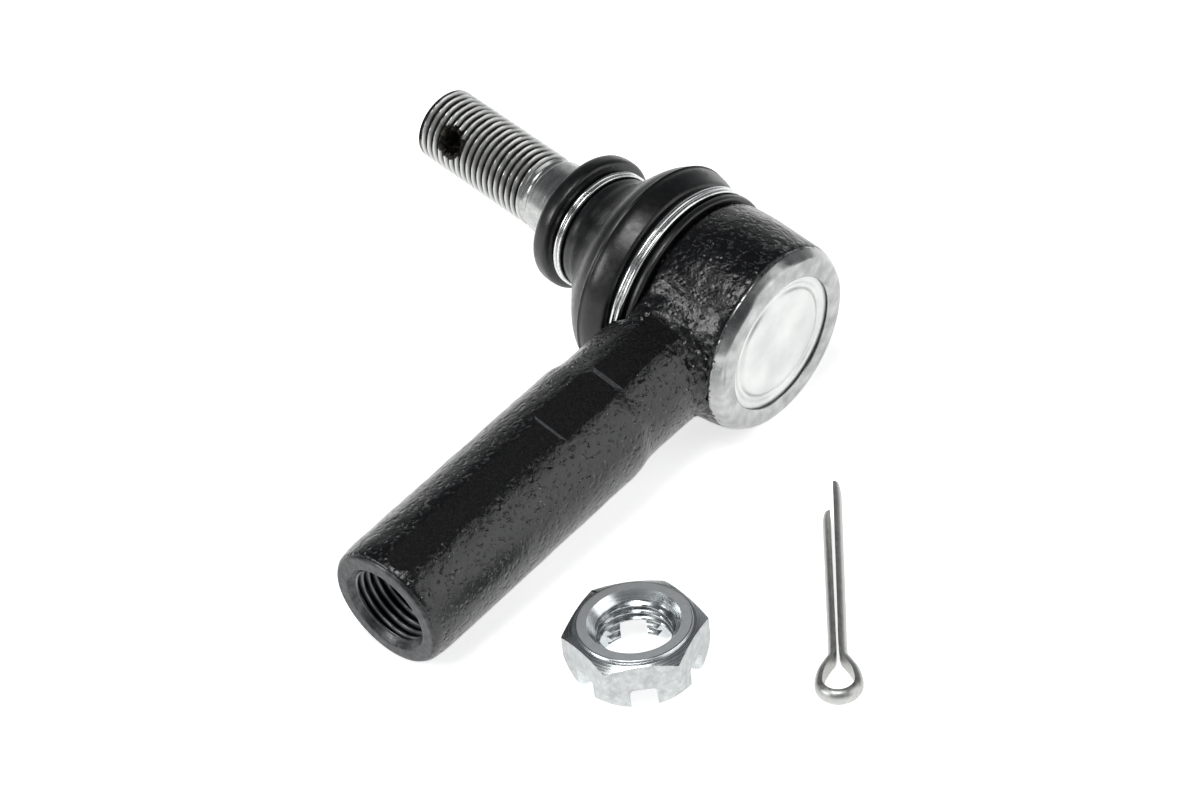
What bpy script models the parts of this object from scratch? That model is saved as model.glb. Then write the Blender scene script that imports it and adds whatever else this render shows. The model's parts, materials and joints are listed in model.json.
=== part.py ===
"""Tie rod end of a car's steering, taken apart as far as it is sold: a forged housing with a ball stud
in it, and beside it the castle nut and the split pin that lock the stud.

Every size below is in millimetres, in the frame of the piece it belongs to. The housing's frame has its
origin at the ball's centre, +Y along the socket towards the stud, -X along the shank and +Z up.
"""

from math import asin, cos, pi, radians, sin, sqrt, tan

import bmesh
import bpy
from mathutils import Matrix, Vector

MM = 0.001

# Where the pieces lie on the table
SHANK_SLOPE = radians(4.92)  # the shank's open end hangs down by this much
SOCKET_RISE = radians(5.9)  # the stud's end of the socket points up by this much
STUD_TILT = radians(6.3)  # the stud leans this far out of the socket's axis
STUD_LEAN = radians(-11.0)  # direction of that lean about the socket's axis, from +X
BALL_HEIGHT = 18.7
NUT_PLACE = (-63.1, -34.3)
NUT_TURN = radians(-13.0)
PIN_PLACE = (-51.55, -67.7)  # outer end of the pin's eye
PIN_TURN = radians(40.6)

# Steel thread that the stud, the nut and the shank all share
PITCH = 1.5
THREAD_R = 7.0
THREAD_DEPTH = 0.81

# Ball stud, along its own axis from the ball's centre
BALL_R = 11.0
BALL_FLAT = -8.6
NECK_R = 6.0
TAPER_START = 19.0
TAPER_R = 8.1
TAPER_END = 43.0
TAPER_END_R = 7.15
STUD_THREAD_START = 44.8
STUD_LENGTH = 72.2
HOLE_R = 2.0
HOLE_MOUTH_R = 3.1
HOLE_FROM_TIP = 8.2
HOLE_TURN = radians(55.0)  # about the stud's axis, from +Z towards -X

# Socket
CLEAR = 0.3  # gap left between pieces that touch
SEAT_R = BALL_R + CLEAR
SEAT_WALL = 1.6
CAVITY_R = SEAT_R + SEAT_WALL + CLEAR
MOUTH_R = 9.9
MOUTH_START = 6.1
MOUTH_END = 10.7
MOUTH_END_R = 11.9
COLLAR_R = 15.6
FACING_R = 20.9
HEAD_BOOT_SIDE = 4.6
HEAD_BOOT_SIDE_R = 18.4
HEAD_MIDDLE_R = 18.6
RIM_BACK = -12.0
RIM_BACK_R = 17.5
RIM_FACE = -14.45
RIM_FACE_R = 16.2
RIM_LIP_R = 12.7
RIM_LIP_THICK = 0.5
PLATE_OUTER_R = 13.8
PLATE_FACE = RIM_FACE + RIM_LIP_THICK + CLEAR
PLATE_BACK = -12.55
PLATE_GROOVE_R = 10.9
CUP_WELL_R = 4.0
CUP_BACK = -11.15

# Shank, along its own axis from the ball's centre
SHANK_LENGTH = 86.7
SHANK_END_R = 10.9
SHANK_R = 11.65
SHANK_NECK_R = 10.9
SHANK_NECK_END = 31.0
SHANK_BARREL_START = 34.0
SHANK_ROOT = 12.0
SHANK_ROOT_R = 13.8
SHANK_NECK_START = 19.5
BORE_DEPTH = 46.0
BORE_MOUTH_R = 8.4
BORE_THREAD_R = 8.0
# Flats along the forging's parting line: start, end and height above the shank's axis. They overlap a little
FLAT_REACH = 8.0
FLATS = ((13.7, 31.7, 10.6), (31.4, 46.8, 11.1), (46.5, 90.0, 11.36))
FLAT_TURN = radians(11.6)  # about the shank, from +Z towards the plate

# Boot, along the socket and then bending over to the stud
BOOT_START = 4.9
BOOT_WALL = 1.7
BOOT_LIP_R = 19.2
BIG_RING_AT = 8.0
BIG_RING_R = 19.2
BIG_WIRE_R = 0.55
BOOT_GROOVE_R = BIG_RING_R - BIG_WIRE_R - CLEAR
BULGE_AT = 13.8
BULGE_R = 20.3
BOOT_NECK_R = 10.2
SMALL_RING_AT = 29.6
SMALL_RING_R = 11.3
SMALL_WIRE_R = 0.45
BOOT_TOP_LIP_R = 12.95
BOOT_TOP = 34.9
RING_TURNS = 2

# Castle nut
NUT_FLATS = 21.2
NUT_HEIGHT = 10.0
NUT_FACE_R = 9.75
NUT_FACE_THICK = 0.5
NUT_MOUTH_R = 7.75
NUT_SLOT_WIDTH = 4.5
NUT_SLOT_DEPTH = 4.3
NUT_CROWN_R = 10.3

# Split pin
PIN_R = 1.5
PIN_LEG = 1.4  # thickness of one half-round leg
PIN_EYE_LENGTH = 10.6
PIN_EYE_R = 4.05
PIN_SHORT_LEG = 46.4
PIN_LONG_LEG = 54.0
PIN_GAP = 0.4

ROUND_SEGMENTS = 32
SMALL_SEGMENTS = 16
THREAD_SEGMENTS = 24


def clear_scene():
    for item in list(bpy.data.objects):
        bpy.data.objects.remove(item, do_unlink=True)


def material(name, colour, roughness, metallic):
    made = bpy.data.materials.new(name)
    made.use_nodes = True
    shader = made.node_tree.nodes["Principled BSDF"]
    shader.inputs["Base Color"].default_value = (*colour, 1.0)
    shader.inputs["Roughness"].default_value = roughness
    shader.inputs["Metallic"].default_value = metallic
    made.diffuse_color = (*colour, 1.0)
    return made


def object_from(name, mesh_work, parent=None, finish=None):
    """Closes a bmesh drawn in millimetres into a named object, in metres."""
    bmesh.ops.remove_doubles(mesh_work, verts=mesh_work.verts, dist=1e-5)
    bmesh.ops.recalc_face_normals(mesh_work, faces=mesh_work.faces)
    bmesh.ops.scale(mesh_work, vec=(MM, MM, MM), verts=mesh_work.verts)
    mesh = bpy.data.meshes.new(name)
    mesh_work.to_mesh(mesh)
    mesh_work.free()
    mesh.shade_smooth()
    made = bpy.data.objects.new(name, mesh)
    bpy.context.scene.collection.objects.link(made)
    made.parent = parent
    if finish:
        mesh.materials.append(finish)
    return made


def empty(name, place=(0, 0, 0), matrix=None, parent=None):
    made = bpy.data.objects.new(name, None)
    bpy.context.scene.collection.objects.link(made)
    made.parent = parent
    made.matrix_local = Matrix.Translation(Vector(place) * MM) @ (matrix or Matrix())
    return made


def cutter(made):
    made.hide_render = True
    made.display_type = "WIRE"
    return made


def combine(target, other, operation):
    step = target.modifiers.new(f"{operation.lower()} {other.name}", "BOOLEAN")
    step.operation = operation
    step.object = other
    step.solver = "EXACT"


def arc(centre_along, radius, start, end, steps):
    """Points (along, radius) of an arc whose centre is on the axis, between two distances along it."""
    first, last = asin((start - centre_along) / radius), asin((end - centre_along) / radius)
    angles = [first + (last - first) * i / steps for i in range(steps + 1)]
    return [(centre_along + radius * sin(angle), radius * cos(angle)) for angle in angles]


def curve_through(start, pull, end, steps):
    """Points of a quadratic curve from start to end, both (along, radius), drawn towards pull."""
    found = []
    for i in range(steps + 1):
        t = i / steps
        weights = ((1 - t) ** 2, 2 * t * (1 - t), t * t)
        found.append(tuple(sum(w * p[k] for w, p in zip(weights, (start, pull, end))) for k in (0, 1)))
    return found


def thread(start, end, crest, root):
    """Points (along, radius) of a V thread drawn as rings, one pitch apart, from start to end."""
    turns = int((end - start) / PITCH)
    found = [(start, root)]
    for turn in range(turns):
        found += [(start + (turn + 0.5) * PITCH, crest), (start + (turn + 1) * PITCH, root)]
    return found


def turned_mesh(outline, segments):
    """A bmesh turned about Y. The outline ends on the axis at both ends, or is a closed ring off it."""
    work = bmesh.new()
    points = [work.verts.new((radius, along, 0)) for along, radius in outline]
    edges = [work.edges.new(pair) for pair in zip(points, points[1:])]
    if outline[0][1] > 0:
        edges.append(work.edges.new((points[-1], points[0])))
    bmesh.ops.spin(work, geom=points + edges, cent=(0, 0, 0), axis=(0, 1, 0), dvec=(0, 0, 0),
                   angle=2 * pi, steps=segments, use_merge=True)
    bmesh.ops.remove_doubles(work, verts=work.verts, dist=1e-5)
    return work


def turned(name, outline, segments=ROUND_SEGMENTS, parent=None, finish=None, matrix=None):
    work = turned_mesh(outline, segments)
    if matrix:
        work.transform(matrix)
    return object_from(name, work, parent, finish)


def rings_joined(name, rings, closed=False, parent=None, finish=None):
    """A tube through rings of points: capped at both ends, or closed on itself."""
    work = bmesh.new()
    rows = [[work.verts.new(point) for point in ring] for ring in rings]
    pairs = list(zip(rows, rows[1:])) + ([(rows[-1], rows[0])] if closed else [])
    for near, far in pairs:
        for i in range(len(near)):
            j = (i + 1) % len(near)
            work.faces.new((near[i], near[j], far[j], far[i]))
    if not closed:
        work.faces.new(rows[0])
        work.faces.new(rows[-1])
    return object_from(name, work, parent, finish)


def box(name, low, high, parent=None, matrix=None):
    work = bmesh.new()
    bmesh.ops.create_cube(work, size=1)
    size = Vector(high) - Vector(low)
    work.transform(Matrix.Translation((Vector(high) + Vector(low)) / 2) @ Matrix.Diagonal((*size, 1)))
    if matrix:
        work.transform(matrix)
    return object_from(name, work, parent)


def head_outline():
    """Outside of the socket before its stud side is faced: rolled rim and drafted wall."""
    return [
        (RIM_FACE, 0),
        (RIM_FACE, RIM_FACE_R),
        (RIM_BACK, RIM_BACK_R),
        (RIM_BACK + 0.4, RIM_BACK_R + 0.15),
        (-1.0, HEAD_MIDDLE_R),
        (HEAD_BOOT_SIDE - 0.8, HEAD_BOOT_SIDE_R),
        (HEAD_BOOT_SIDE + 0.2, HEAD_BOOT_SIDE_R - 1.0),
        (MOUTH_END + 2, HEAD_BOOT_SIDE_R - 1.0),
        (MOUTH_END + 2, 0),
    ]


def facing_outline():
    """What is turned off the stud side: the collar that the boot grips stays standing."""
    return [
        (MOUTH_END, 0),
        (MOUTH_END, COLLAR_R - 0.6),
        (MOUTH_END - 0.6, COLLAR_R),
        (HEAD_BOOT_SIDE, COLLAR_R),
        (HEAD_BOOT_SIDE, FACING_R),
        (MOUTH_END + 20, FACING_R),
        (MOUTH_END + 20, 0),
    ]


def cavity_outline():
    """Inside of the socket, from past the rim to past the mouth."""
    lip_back = RIM_FACE + RIM_LIP_THICK
    plate_seat = PLATE_BACK + CLEAR
    sphere = SEAT_R + SEAT_WALL + CLEAR * 1.5
    return [
        (RIM_FACE - 1, 0),
        (RIM_FACE - 1, RIM_LIP_R),
        (lip_back, RIM_LIP_R),
        (lip_back, PLATE_OUTER_R + CLEAR),
        (plate_seat, PLATE_OUTER_R + CLEAR),
        (plate_seat, CAVITY_R),
        *arc(0, sphere, 1.9, MOUTH_START, 4),
        (MOUTH_START, MOUTH_R),
        (MOUTH_END + 1, MOUTH_END_R),
        (MOUTH_END + 1, 0),
    ]


def shank_outline():
    """Outside of the shank, from inside the head to the open end."""
    return [
        (4.0, 0),
        (4.0, SHANK_ROOT_R),
        *curve_through((SHANK_ROOT, SHANK_ROOT_R), (SHANK_ROOT + 3, SHANK_NECK_R), (SHANK_NECK_START, SHANK_NECK_R), 5),
        (SHANK_NECK_END, SHANK_NECK_R),
        (SHANK_BARREL_START, SHANK_R),
        (SHANK_LENGTH - 3.0, SHANK_R),
        (SHANK_LENGTH - 0.6, SHANK_END_R + 0.3),
        (SHANK_LENGTH, SHANK_END_R),
        (SHANK_LENGTH, 0),
    ]


def bore_outline():
    """The shank's threaded bore: mouth, thread, plain run-out and the drill's point."""
    root = BORE_THREAD_R - THREAD_DEPTH
    mouth_depth = BORE_MOUTH_R - root
    inner = SHANK_LENGTH - BORE_DEPTH
    threads = thread(inner + 5.0, SHANK_LENGTH - mouth_depth, BORE_THREAD_R, root)
    return [
        (inner - root * tan(radians(31)), 0),
        (inner, root),
        *threads,
        (SHANK_LENGTH - mouth_depth, root),
        (SHANK_LENGTH, BORE_MOUTH_R),
        (SHANK_LENGTH + 1, BORE_MOUTH_R),
        (SHANK_LENGTH + 1, 0),
    ]


def make_shank_blank(frame):
    """The shank with its bore and its parting-line flats, before it is joined to the head."""
    along_shank = Matrix.Rotation(radians(90), 4, "Z")
    shank = cutter(turned("shank_blank", shank_outline(), parent=frame, matrix=along_shank))
    bore = turned("bore_tool", bore_outline(), SMALL_SEGMENTS, frame, matrix=along_shank)
    combine(shank, cutter(bore), "DIFFERENCE")
    for number, (start, end, height) in enumerate(FLATS):
        for side, name in ((1, "upper"), (-1, "lower")):
            low, high = sorted((side * height, side * (height + 6)))
            tool = box(f"{name}_flat_tool_{number}", (-end, -FLAT_REACH, low), (-start, FLAT_REACH, high), frame, Matrix.Rotation(FLAT_TURN, 4, "X"))
            combine(shank, cutter(tool), "DIFFERENCE")
    return shank


def make_housing(frame, finish):
    housing = turned("housing", head_outline(), parent=frame, finish=finish)
    combine(housing, make_shank_blank(frame), "UNION")
    combine(housing, cutter(turned("facing_tool", facing_outline(), parent=frame)), "DIFFERENCE")
    combine(housing, cutter(turned("cavity_tool", cavity_outline(), parent=frame)), "DIFFERENCE")
    return housing


def make_plate(frame, finish):
    """Pressed cover with a groove inside its edge and a slightly domed middle."""
    outline = [
        (PLATE_BACK, 0),
        (PLATE_BACK, PLATE_OUTER_R),
        (PLATE_FACE, PLATE_OUTER_R),
        (PLATE_FACE, PLATE_GROOVE_R + 0.7),
        (PLATE_FACE + 0.45, PLATE_GROOVE_R + 0.3),
        (PLATE_FACE + 0.45, PLATE_GROOVE_R - 0.3),
        (PLATE_FACE - 0.3, PLATE_GROOVE_R - 0.9),
        (PLATE_FACE - 0.45, PLATE_GROOVE_R - 2.0),
        (PLATE_FACE - 0.45, 0),
    ]
    return turned("closure_plate", outline, parent=frame, finish=finish)


def make_upper_seat(frame, finish):
    """Plastic liner round the ball's stud side."""
    start, end = -2.0, MOUTH_START - CLEAR
    inside = arc(0, SEAT_R, start, end, 6)
    outside = arc(0, SEAT_R + SEAT_WALL, end, 1.9, 4)
    return turned("upper_seat", inside + outside + [(start, SEAT_R + SEAT_WALL)], parent=frame, finish=finish)


def make_pressure_cup(frame, finish):
    """Plastic cup that carries the ball's closed side, with a grease well in its middle."""
    start = -2.0 - CLEAR
    well = -sqrt(SEAT_R**2 - CUP_WELL_R**2)
    outer = SEAT_R + SEAT_WALL
    outline = arc(0, SEAT_R, start, well, 7) + [
        (CUP_BACK, CUP_WELL_R),
        (CUP_BACK, outer - 1.2),
        (CUP_BACK + 1.2, outer),
        (start, outer),
    ]
    return turned("pressure_cup", outline, parent=frame, finish=finish)


def make_spring(frame, finish):
    """Dished spring washer between the cup and the plate."""
    inner, outer, thick, dish = CUP_WELL_R + 0.6, SEAT_R + SEAT_WALL - 0.4, 0.5, 0.35
    near = CUP_BACK - 0.25
    outline = [(near, inner), (near - dish, outer), (near - dish - thick, outer), (near - thick, inner)]
    return turned("preload_spring", outline, parent=frame, finish=finish)


def stud_outline():
    neck_start = sqrt(BALL_R**2 - NECK_R**2)
    crest, root = THREAD_R, THREAD_R - THREAD_DEPTH
    return [
        (BALL_FLAT, 0),
        *arc(0, BALL_R, BALL_FLAT, neck_start, 10),
        (neck_start + 3.5, NECK_R),
        (TAPER_START, TAPER_R),
        (TAPER_END, TAPER_END_R),
        (TAPER_END + 0.5, root),
        *thread(STUD_THREAD_START, STUD_LENGTH - 1.6, crest, root),
        (STUD_LENGTH - 1.0, crest),
        (STUD_LENGTH, root - 0.2),
        (STUD_LENGTH, 0),
    ]


def make_stud(frame, finish):
    stud = turned("ball_stud", stud_outline(), THREAD_SEGMENTS, frame, finish)
    middle = STUD_LENGTH - HOLE_FROM_TIP
    mouth = HOLE_MOUTH_R - HOLE_R
    reach = THREAD_R + 1
    outline = [
        (-reach, 0),
        (-reach, HOLE_MOUTH_R + 0.8),
        (-THREAD_R + mouth, HOLE_R),
        (THREAD_R - mouth, HOLE_R),
        (reach, HOLE_MOUTH_R + 0.8),
        (reach, 0),
    ]
    across = Matrix.Rotation(-HOLE_TURN, 4, "Y") @ Matrix.Rotation(radians(90), 4, "X")
    place = Matrix.Translation((0, middle, 0)) @ across
    combine(stud, cutter(turned("cross_hole_tool", outline, 16, frame, matrix=place)), "DIFFERENCE")
    return stud


def boot_outlines():
    """The boot's outside and inside as (along, radius), both from its base to its top."""
    groove = (BIG_RING_AT - 2.1, BIG_RING_AT + 2.1)
    top_groove = (SMALL_RING_AT - 1.8, SMALL_RING_AT + 1.8)
    outside = [
        (BOOT_START, BOOT_LIP_R - 0.5),
        (BOOT_START + 0.5, BOOT_LIP_R),
        (groove[0] - 0.2, BOOT_LIP_R),
        (groove[0] + 0.1, BOOT_GROOVE_R),
        (groove[1] - 0.1, BOOT_GROOVE_R),
        (groove[1] + 0.3, BOOT_LIP_R + 0.1),
        *curve_through((BULGE_AT - 1.2, BULGE_R - 0.1), (BULGE_AT + 2.6, BULGE_R + 0.6), (20.6, 16.9), 5),
        *curve_through((22.6, 14.7), (25.4, BOOT_NECK_R + 0.9), (26.6, BOOT_NECK_R + 0.9), 3),
        (top_groove[0] - 0.1, BOOT_NECK_R + 0.9),
        (top_groove[0] + 0.2, SMALL_RING_R - SMALL_WIRE_R - CLEAR),
        (top_groove[1] - 0.2, SMALL_RING_R - SMALL_WIRE_R - CLEAR),
        (top_groove[1] + 0.2, BOOT_TOP_LIP_R - 0.5),
        (top_groove[1] + 0.7, BOOT_TOP_LIP_R),
        (BOOT_TOP - 1.2, BOOT_TOP_LIP_R),
        (BOOT_TOP - 0.4, BOOT_TOP_LIP_R - 0.7),
        (BOOT_TOP, BOOT_TOP_LIP_R - 1.8),
    ]
    seal = TAPER_R + CLEAR
    inside = [
        (BOOT_START, COLLAR_R + CLEAR),
        (MOUTH_END + CLEAR, COLLAR_R + CLEAR),
        (MOUTH_END + CLEAR, BOOT_GROOVE_R - 0.6),
        *curve_through((BULGE_AT, BULGE_R - BOOT_WALL), (BULGE_AT + 3, BULGE_R - BOOT_WALL), (20.2, 14.9), 4),
        (23.4, 11.4),
        (25.6, seal),
        (BOOT_TOP, seal),
    ]
    return outside, inside


def boot_frame(along, stud_in_socket):
    """Frame of one ring of the boot: the socket's up to the big ring, the stud's from the neck on."""
    t = min(max((along - BIG_RING_AT - 2) / (SMALL_RING_AT - BIG_RING_AT - 6), 0), 1)
    share = t * t * (3 - 2 * t)
    angle, axis = stud_in_socket.to_quaternion().to_axis_angle()[::-1]
    turn = Matrix.Rotation(angle * share, 4, axis)
    straight, leaning = Vector((0, along, 0)), stud_in_socket @ Vector((0, along, 0))
    return Matrix.Translation(straight.lerp(leaning, share)) @ turn


def make_boot(frame, stud_in_socket, finish):
    outside, inside = boot_outlines()
    rings = []
    for along, radius in outside + inside[::-1]:
        place = boot_frame(along, stud_in_socket)
        angles = [2 * pi * i / ROUND_SEGMENTS for i in range(ROUND_SEGMENTS)]
        rings.append([place @ Vector((radius * cos(a), 0, radius * sin(a))) for a in angles])
    return rings_joined("dust_boot", rings, closed=True, parent=frame, finish=finish)


def make_ring(name, along, radius, wire, steps, frame, finish):
    """Spring ring of round wire, wound in turns side by side about the frame's Y axis."""
    pitch = 2 * wire + 0.12
    count = RING_TURNS * steps
    sides = 6
    rings = []
    for i in range(count + 1):
        angle = 2 * pi * i / steps
        outward = Vector((cos(angle), 0, sin(angle)))
        centre = outward * radius + Vector((0, along + pitch * (i / steps - RING_TURNS / 2), 0))
        around = [2 * pi * k / sides for k in range(sides)]
        rings.append([centre + wire * (outward * cos(a) + Vector((0, sin(a), 0))) for a in around])
    return rings_joined(name, rings, parent=frame, finish=finish)


def hexagon_mesh(flats, height):
    """A hexagonal bar that stands 1 mm proud of the nut at both ends."""
    work = bmesh.new()
    corner = flats / sqrt(3)
    bmesh.ops.create_cone(work, cap_ends=True, segments=6, radius1=corner, radius2=corner, depth=height + 2)
    bmesh.ops.translate(work, verts=work.verts, vec=(0, 0, height / 2))
    return work


def make_nut(frame, finish):
    """Hexagon with a washer face on top and slots at the bottom, turned down at both ends."""
    upright = Matrix.Rotation(radians(90), 4, "X")
    nut = object_from("castle_nut", hexagon_mesh(NUT_FLATS, NUT_HEIGHT), frame, finish)
    corner = NUT_FLATS / sqrt(3)
    for number in range(3):
        turn = Matrix.Rotation(radians(60 * number), 4, "Z")
        low, high = (-corner - 1, -NUT_SLOT_WIDTH / 2, -2), (corner + 1, NUT_SLOT_WIDTH / 2, NUT_SLOT_DEPTH)
        tool = box(f"nut_slot_tool_{number}", low, high, frame, turn)
        combine(nut, cutter(tool), "DIFFERENCE")
    shoulder = NUT_HEIGHT - NUT_FACE_THICK
    turned_shape = [
        (0, 0),
        (0, NUT_CROWN_R - 0.9),
        *curve_through((0.35, NUT_CROWN_R), (2.2, corner - 0.4), (5.0, corner + 0.2), 4),
        (shoulder - (corner + 0.2 - NUT_FLATS / 2) * tan(radians(30)), corner + 0.2),
        (shoulder, NUT_FLATS / 2 - 0.25),
        (shoulder, NUT_FACE_R),
        (NUT_HEIGHT - 0.15, NUT_FACE_R),
        (NUT_HEIGHT, NUT_FACE_R - 0.15),
        (NUT_HEIGHT, 0),
    ]
    combine(nut, cutter(turned("nut_turning", turned_shape, parent=frame, matrix=upright)), "INTERSECT")
    root = THREAD_R - THREAD_DEPTH
    mouth = NUT_MOUTH_R - root
    bore = [
        (-1, 0),
        (-1, THREAD_R + 0.9),
        *thread(0.7, NUT_HEIGHT - mouth, THREAD_R, root),
        (NUT_HEIGHT - mouth, root),
        (NUT_HEIGHT, NUT_MOUTH_R),
        (NUT_HEIGHT + 1, NUT_MOUTH_R),
        (NUT_HEIGHT + 1, 0),
    ]
    combine(nut, cutter(turned("nut_bore_tool", bore, SMALL_SEGMENTS, frame, matrix=upright)), "DIFFERENCE")
    return nut


def pin_path():
    """Middle of the wire's flat side, in the pin's plane, from the short leg's tip round to the long one's."""
    gap = PIN_GAP / 2
    inner = PIN_EYE_R - PIN_LEG
    neck, centre = PIN_EYE_LENGTH + 0.6, PIN_EYE_R
    short = [Vector((x, gap + 0.1 * (x - neck) / (PIN_SHORT_LEG - neck))) for x in (PIN_SHORT_LEG, 30.0, neck)]
    bend = curve_through((neck - 0.8, gap + 0.15), (centre + 4.2, inner + 0.1), (centre + 1.2, inner - 0.05), 4)
    side = [Vector(point) for point in bend]
    angles = [radians(90 + 180 * i / 10) for i in range(11)]
    eye = [Vector((centre + inner * cos(a), inner * sin(a))) for a in angles]
    other = [Vector((x, -y)) for x, y in side[::-1]]
    long = [Vector((x, -gap - 0.15 * (x - neck) / (PIN_LONG_LEG - neck))) for x in (neck, 30.0, PIN_LONG_LEG)]
    return short + side + eye + other + long


def make_pin(frame, finish):
    """Half-round wire folded on its flat side, with an eye at the fold."""
    path = pin_path()
    rings = []
    for i, point in enumerate(path):
        before, after = path[max(i - 1, 0)], path[min(i + 1, len(path) - 1)]
        forward = (after - before).normalized()
        outward = Vector((forward.y, -forward.x)) if i else Vector((0, 1))
        ring = []
        for k in range(7):
            angle = pi * k / 6
            reach = PIN_LEG * sin(angle)
            ring.append((point.x + outward.x * reach, point.y + outward.y * reach, PIN_R - PIN_R * cos(angle)))
        rings.append(ring)
    return rings_joined("split_pin", rings, parent=frame, finish=finish)


def centre_over_floor(root):
    """Moves everything so that the nodes' common box stands on z = 0 with its middle over the origin."""
    bpy.context.view_layer.update()
    graph = bpy.context.evaluated_depsgraph_get()
    corners = []
    for made in bpy.data.objects:
        if made.type == "MESH" and not made.hide_render:
            shown = made.evaluated_get(graph)
            corners += [shown.matrix_world @ vertex.co for vertex in shown.data.vertices]
    low = Vector([min(corner[k] for corner in corners) for k in range(3)])
    high = Vector([max(corner[k] for corner in corners) for k in range(3)])
    root.location = (-(low.x + high.x) / 2, -(low.y + high.y) / 2, -low.z)


def main():
    clear_scene()
    paint = material("black_paint", (0.012, 0.012, 0.014), 0.38, 0.0)
    zinc = material("zinc_plate", (0.72, 0.73, 0.71), 0.35, 1.0)
    bare_steel = material("bare_steel", (0.50, 0.51, 0.51), 0.28, 1.0)
    bright_zinc = material("bright_zinc", (0.78, 0.79, 0.80), 0.22, 1.0)
    spring_steel = material("spring_steel", (0.62, 0.62, 0.63), 0.25, 1.0)
    grey_zinc = material("grey_zinc", (0.56, 0.57, 0.56), 0.38, 1.0)
    blued_steel = material("blued_steel", (0.10, 0.10, 0.12), 0.35, 1.0)
    rubber = material("black_rubber", (0.010, 0.010, 0.011), 0.48, 0.0)
    acetal = material("white_acetal", (0.78, 0.78, 0.74), 0.45, 0.0)
    graphite_acetal = material("grey_acetal", (0.30, 0.31, 0.31), 0.45, 0.0)

    row = empty("row")
    lie = Matrix.Rotation(-SHANK_SLOPE, 4, "Y") @ Matrix.Rotation(SOCKET_RISE, 4, "X")
    socket = empty("socket_frame", (0, 0, BALL_HEIGHT), lie, row)
    lean_axis = Matrix.Rotation(-STUD_LEAN, 3, "Y") @ Vector((0, 0, -1))
    stud_in_socket = Matrix.Rotation(STUD_TILT, 4, lean_axis)
    stud_frame = empty("stud_frame", matrix=stud_in_socket, parent=socket)
    nut_frame = empty("nut_frame", (*NUT_PLACE, 0), Matrix.Rotation(NUT_TURN, 4, "Z"), row)
    pin_frame = empty("pin_frame", (*PIN_PLACE, 0), Matrix.Rotation(PIN_TURN, 4, "Z"), row)

    make_housing(socket, paint)
    make_plate(socket, zinc)
    make_upper_seat(socket, acetal)
    make_pressure_cup(socket, graphite_acetal)
    make_spring(socket, blued_steel)
    make_stud(stud_frame, bare_steel)
    make_boot(socket, stud_in_socket, rubber)
    make_ring("large_clip_ring", BIG_RING_AT, BIG_RING_R, BIG_WIRE_R, ROUND_SEGMENTS, socket, spring_steel)
    make_ring("small_clip_ring", SMALL_RING_AT, SMALL_RING_R, SMALL_WIRE_R, THREAD_SEGMENTS, stud_frame, spring_steel)
    make_nut(nut_frame, bright_zinc)
    make_pin(pin_frame, grey_zinc)
    centre_over_floor(row)


main()
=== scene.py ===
"""Looks of a tie rod end: a painted forging with a ball stud in a rubber boot, and beside it the castle nut
and the split pin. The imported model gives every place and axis; lengths written here are millimetres."""

import json
from math import asin, cos, pi, radians, sin, sqrt, tan

import bmesh
import bpy
import numpy as np
from mathutils import Matrix, Vector, noise


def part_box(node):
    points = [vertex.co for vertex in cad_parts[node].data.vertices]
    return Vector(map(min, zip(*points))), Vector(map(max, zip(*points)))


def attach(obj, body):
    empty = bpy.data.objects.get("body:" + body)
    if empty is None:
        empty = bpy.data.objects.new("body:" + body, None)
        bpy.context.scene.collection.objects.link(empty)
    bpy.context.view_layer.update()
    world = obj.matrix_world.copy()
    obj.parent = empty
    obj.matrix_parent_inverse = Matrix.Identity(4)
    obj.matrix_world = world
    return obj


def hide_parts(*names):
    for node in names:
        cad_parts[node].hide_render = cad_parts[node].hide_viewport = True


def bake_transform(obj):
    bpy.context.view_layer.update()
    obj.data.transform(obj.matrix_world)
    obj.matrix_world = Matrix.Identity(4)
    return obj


bl_info = {
    "name": "Tie Rod End",
    "version": (1, 0, 0),
    "blender": (4, 5, 0),
    "location": "View3D > Sidebar > Tie Rod End",
    "description": "Builds the finished pieces of a tie rod end over its packed model",
    "category": "Object",
}

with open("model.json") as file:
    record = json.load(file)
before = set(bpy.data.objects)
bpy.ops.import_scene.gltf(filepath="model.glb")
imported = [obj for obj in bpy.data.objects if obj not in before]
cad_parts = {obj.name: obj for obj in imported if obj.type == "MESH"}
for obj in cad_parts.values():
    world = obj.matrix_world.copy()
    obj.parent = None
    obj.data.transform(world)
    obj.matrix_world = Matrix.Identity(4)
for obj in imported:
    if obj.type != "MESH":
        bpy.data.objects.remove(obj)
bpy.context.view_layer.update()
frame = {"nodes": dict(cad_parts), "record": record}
MM = 0.001
JOINTS = {joint["name"]: joint for joint in frame["record"]["behaviour"]["joints"]}
MOUNTS = {mount["name"]: mount for mount in frame["record"]["mounts"]}


def frame_along(origin, along, away):
    """A frame with +Y along one direction and -X as near as it can be to another."""
    y = Vector(along).normalized()
    x = -(Vector(away) - y * Vector(away).dot(y)).normalized()
    z = x.cross(y)
    turn = Matrix((x, y, z)).transposed().to_4x4()
    return Matrix.Translation(Vector(origin)) @ turn


BALL = Vector(JOINTS["stud_swivel"]["pos_m"])
SHANK_AXIS = Vector(MOUNTS["shank_end_face"]["axis"])
SOCKET = frame_along(BALL, JOINTS["stud_swivel"]["axis"], SHANK_AXIS)
STUD = frame_along(BALL, JOINTS["stud_spin"]["axis"], SHANK_AXIS)
SHANK = frame_along(BALL, SHANK_AXIS, -Vector(JOINTS["stud_swivel"]["axis"]))
SHANK_LENGTH = (Vector(MOUNTS["shank_end_face"]["pos_m"]) - BALL).dot(SHANK_AXIS) / MM
STUD_LENGTH = (Vector(MOUNTS["stud_end_face"]["pos_m"]) - BALL).length / MM

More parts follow.
